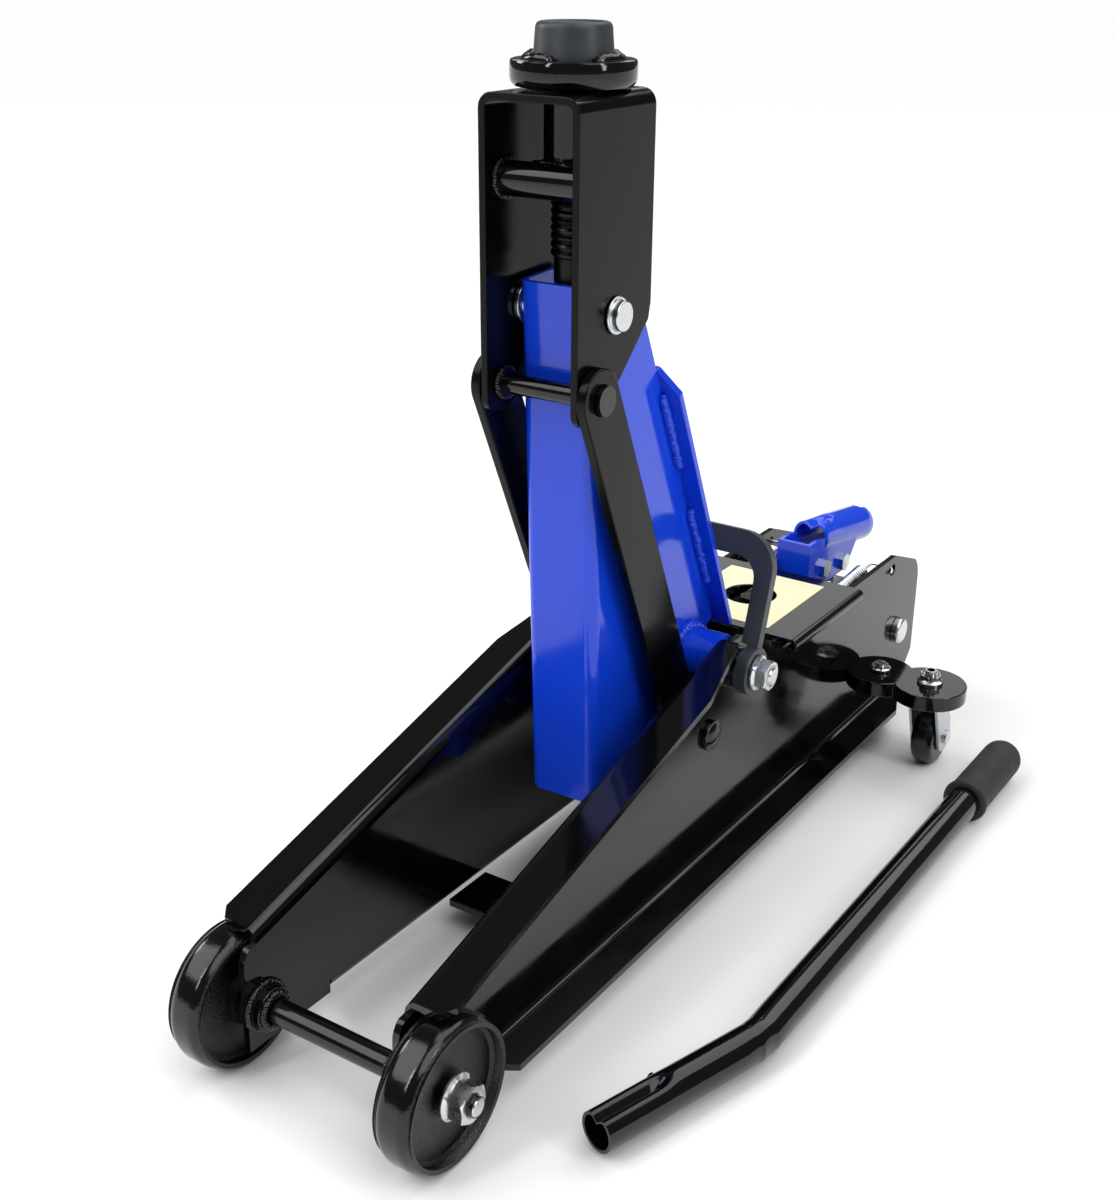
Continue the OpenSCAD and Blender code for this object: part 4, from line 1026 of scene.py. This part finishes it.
bm = bmesh.new()
outer_rings = [bar_ring(station, BAR_R) for station in stations]
inner_rings = [bar_ring(station, BAR_R - BAR_WALL) for station in reversed(stations[-INNER_STATIONS:])]
stretch_skin(bm, outer_rings + inner_rings)
outward(bm)
settle(piece_from("bent_pump_bar", bm), "bar", "black_paint", thick_black, "pump_bar",
       sharp=math.radians(50))
print("bar's tip at", [round(v, 3) for v in tip])

# %% [markdown]
# ## Handle socket
# The socket is a short tube of the same kind as the bar's tip: its front end is pressed in along the
# top, which leaves a heart-shaped opening, and its rear end has a notch for the bar's stub pin. The
# pressing eases out over about 2 cm, so each ring is dented a little less than the one before.

# %% Handle socket
SOCKET_R, SOCKET_BORE_R = 14.0, 11.5
SOCKET_LEN = 88.0
SOCKET_TILT = math.radians(9)
PRESSING = 6.0                          # mm that the front end's top is pressed in
PRESSED_UP_TO, PRESSING_EASE = 30, 18   # mm from the front end
NOTCH_HALF = 17                         # degrees each side of the top
NOTCH_DEEP = 7                          # mm
tube_low, tube_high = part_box("socket_tube")
tube_way = Vector((0, math.cos(SOCKET_TILT), -math.sin(SOCKET_TILT)))
tube_up = Vector((0, math.sin(SOCKET_TILT), math.cos(SOCKET_TILT)))
tube_start = (tube_low + tube_high) / 2 - tube_way * (SOCKET_LEN / 2 * MM)


def socket_ring(along, radius, steps=96):
    """One ring of the tube. The notch is made by holding back the top of the rear rings."""
    depth = PRESSING * eased((PRESSED_UP_TO - along) / PRESSING_EASE)
    ring = []
    for k in range(steps):
        t = 2 * math.pi * k / steps
        from_top = abs((math.degrees(t) - 90 + 180) % 360 - 180)
        dent = depth * math.exp(-(from_top / 24) ** 2)
        bulge = depth * 0.08 * math.exp(-((from_top - 62) / 25) ** 2)
        r = radius - dent + bulge
        notched = min(along, SOCKET_LEN - NOTCH_DEEP) if from_top < NOTCH_HALF else along
        ring.append(tube_start + tube_way * notched * MM + Vector((r * math.cos(t) * MM, 0, 0))
                    + tube_up * r * math.sin(t) * MM)
    return ring


MOUTH_ROUND, BORE_ROUND = 0.5, 0.4      # mm taken off the tube's end edges
ends = (0.0, SOCKET_LEN)
places = [0.0] + [1.0 + 2 * k for k in range(18)]
places += [50.0, 75.0, SOCKET_LEN - NOTCH_DEEP - 0.01, SOCKET_LEN - 0.6, SOCKET_LEN]
outside = [socket_ring(a, SOCKET_R - (MOUTH_ROUND if a in ends else 0)) for a in places]
inside = [socket_ring(a, SOCKET_BORE_R + (BORE_ROUND if a in ends else 0)) for a in reversed(places)]
bm = bmesh.new()
stretch_skin(bm, outside + inside, joined_ends=True)
outward(bm)
settle(piece_from("pressed_socket_tube", bm), "socket", "blue_paint", gloss_blue, "socket_tube",
       sharp=math.radians(45))
print("rings in the socket:", len(outside + inside))

# %% [markdown]
# ## Grip
# A rubber sleeve with a rolled collar where the hand stops, ten faint ribs and a domed end. The profile
# is turned round the bar's long end, and a loop adds the four points of each rib.

# %% Grip
RIBS, RIB_PITCH, RIB_FIRST = 10, 5.4, 12
RIB_R, GROOVE_R = 13.95, 13.72
grip_len = (grip_high.y - grip_low.y) / MM
grip = [(10.9, 0.4), (13.8, 0.0), (15.0, 0.8), (15.3, 2.4), (15.0, 4.2), (14.2, 5.4), (13.9, 7.0)]
for k in range(RIBS):
    at = RIB_FIRST + k * RIB_PITCH
    grip += [(RIB_R, at), (GROOVE_R, at + 0.7), (GROOVE_R, at + 1.1), (RIB_R, at + 1.8)]
grip += [(13.9, grip_len - 9), (13.5, grip_len - 6), (12.4, grip_len - 3.4), (10.4, grip_len - 1.4),
         (7.5, grip_len - 0.4), (3.5, grip_len - 0.05), (0.05, grip_len)]
bm = bmesh.new()
turned(bm, [(r * MM, a * MM) for r, a in grip], (long_x, grip_low.y, bar_z), (0, 1, 0), 72)
outward(bm)
settle(piece_from("rubber_grip_sleeve", bm), "bar", "grip_rubber", grip_rubber, "bar_grip",
       sharp=math.radians(60))
print("grip length in mm:", round(grip_len, 1))

# %% [markdown]
# ## Studio
# Plain white floor and soft light. The black paint shows mostly what it reflects, so the floor, which
# runs far past the jack, lights the plates from below, and tall boxes of light draw long streaks along
# the flanges. Three wide suns light the floor evenly, so it stays white out to the edges.

# %% Floor
FLOOR_HALF = 60.0                       # m
corners = [(x * FLOOR_HALF, y * FLOOR_HALF, 0) for x, y in ((-1, -1), (1, -1), (1, 1), (-1, 1))]
floor_mesh = bpy.data.meshes.new("floor")
floor_mesh.from_pydata(corners, [], [(0, 1, 2, 3)])
floor = bpy.data.objects.new("floor", floor_mesh)
bpy.context.collection.objects.link(floor)
floor_paint = start_finish("matt white floor", "#F4F4F3", 0.95, Specular_IOR_Level=0.1)[0]
floor.data.materials.append(floor_paint)
print("floor side in metres:", 2 * FLOOR_HALF)

# %% [markdown]
# Each light is aimed at one point low in the middle of the jack. A sun's strength doesn't depend on
# where it stands, and its angle of 50 degrees makes shadows as soft as a cloudy sky's. The boxes stand
# close, so their size and place decide how their reflections look.

# %% Lights and world
LAMP_TARGET = Vector((0, 0, 0.2))
SUN_ANGLE = math.radians(50)
SKY_STRENGTH = 0.12


def add_lamp(name, kind, spot, energy, **settings):
    """A lamp aimed at the jack."""
    lamp = bpy.data.objects.new(name, bpy.data.lights.new(name, kind))
    lamp.data.energy = energy
    for setting, value in settings.items():
        setattr(lamp.data, setting, value)
    lamp.location = spot
    lamp.rotation_mode = "QUATERNION"
    lamp.rotation_quaternion = (Vector(spot) - LAMP_TARGET).to_track_quat("Z", "Y")
    bpy.context.collection.objects.link(lamp)


# name, where it shines from, watts per square metre
SUNS = (("high left", (-1.2, -1.0, 2.2), 1.45), ("high right", (1.5, -0.3, 2.4), 1.3),
        ("high back", (0.2, 1.6, 2.6), 1.1))
# name, where it stands, width and height in metres, watts
BOXES = (("front strip", (-0.5, -1.9, 1.5), 0.25, 1.1, 9), ("right strip", (1.9, -0.1, 1.2), 0.25, 1.0, 7),
         ("rear panel", (-2.0, 3.6, 1.85), 3.0, 0.9, 9), ("left window", (-1.6, -0.3, 1.1), 0.5, 0.6, 7))
for name, spot, energy in SUNS:
    add_lamp(name, "SUN", spot, energy, angle=SUN_ANGLE)
for name, spot, wide, tall, energy in BOXES:
    add_lamp(name, "AREA", spot, energy, shape="RECTANGLE", size=wide, size_y=tall)
world = bpy.data.worlds.new("studio")
world.use_nodes = True
world.node_tree.nodes["Background"].inputs["Color"].default_value = linear("#FFFFFF")
world.node_tree.nodes["Background"].inputs["Strength"].default_value = SKY_STRENGTH
bpy.context.scene.world = world
bpy.context.scene.view_settings.view_transform = "Standard"
print("lights:", len(SUNS) + len(BOXES))
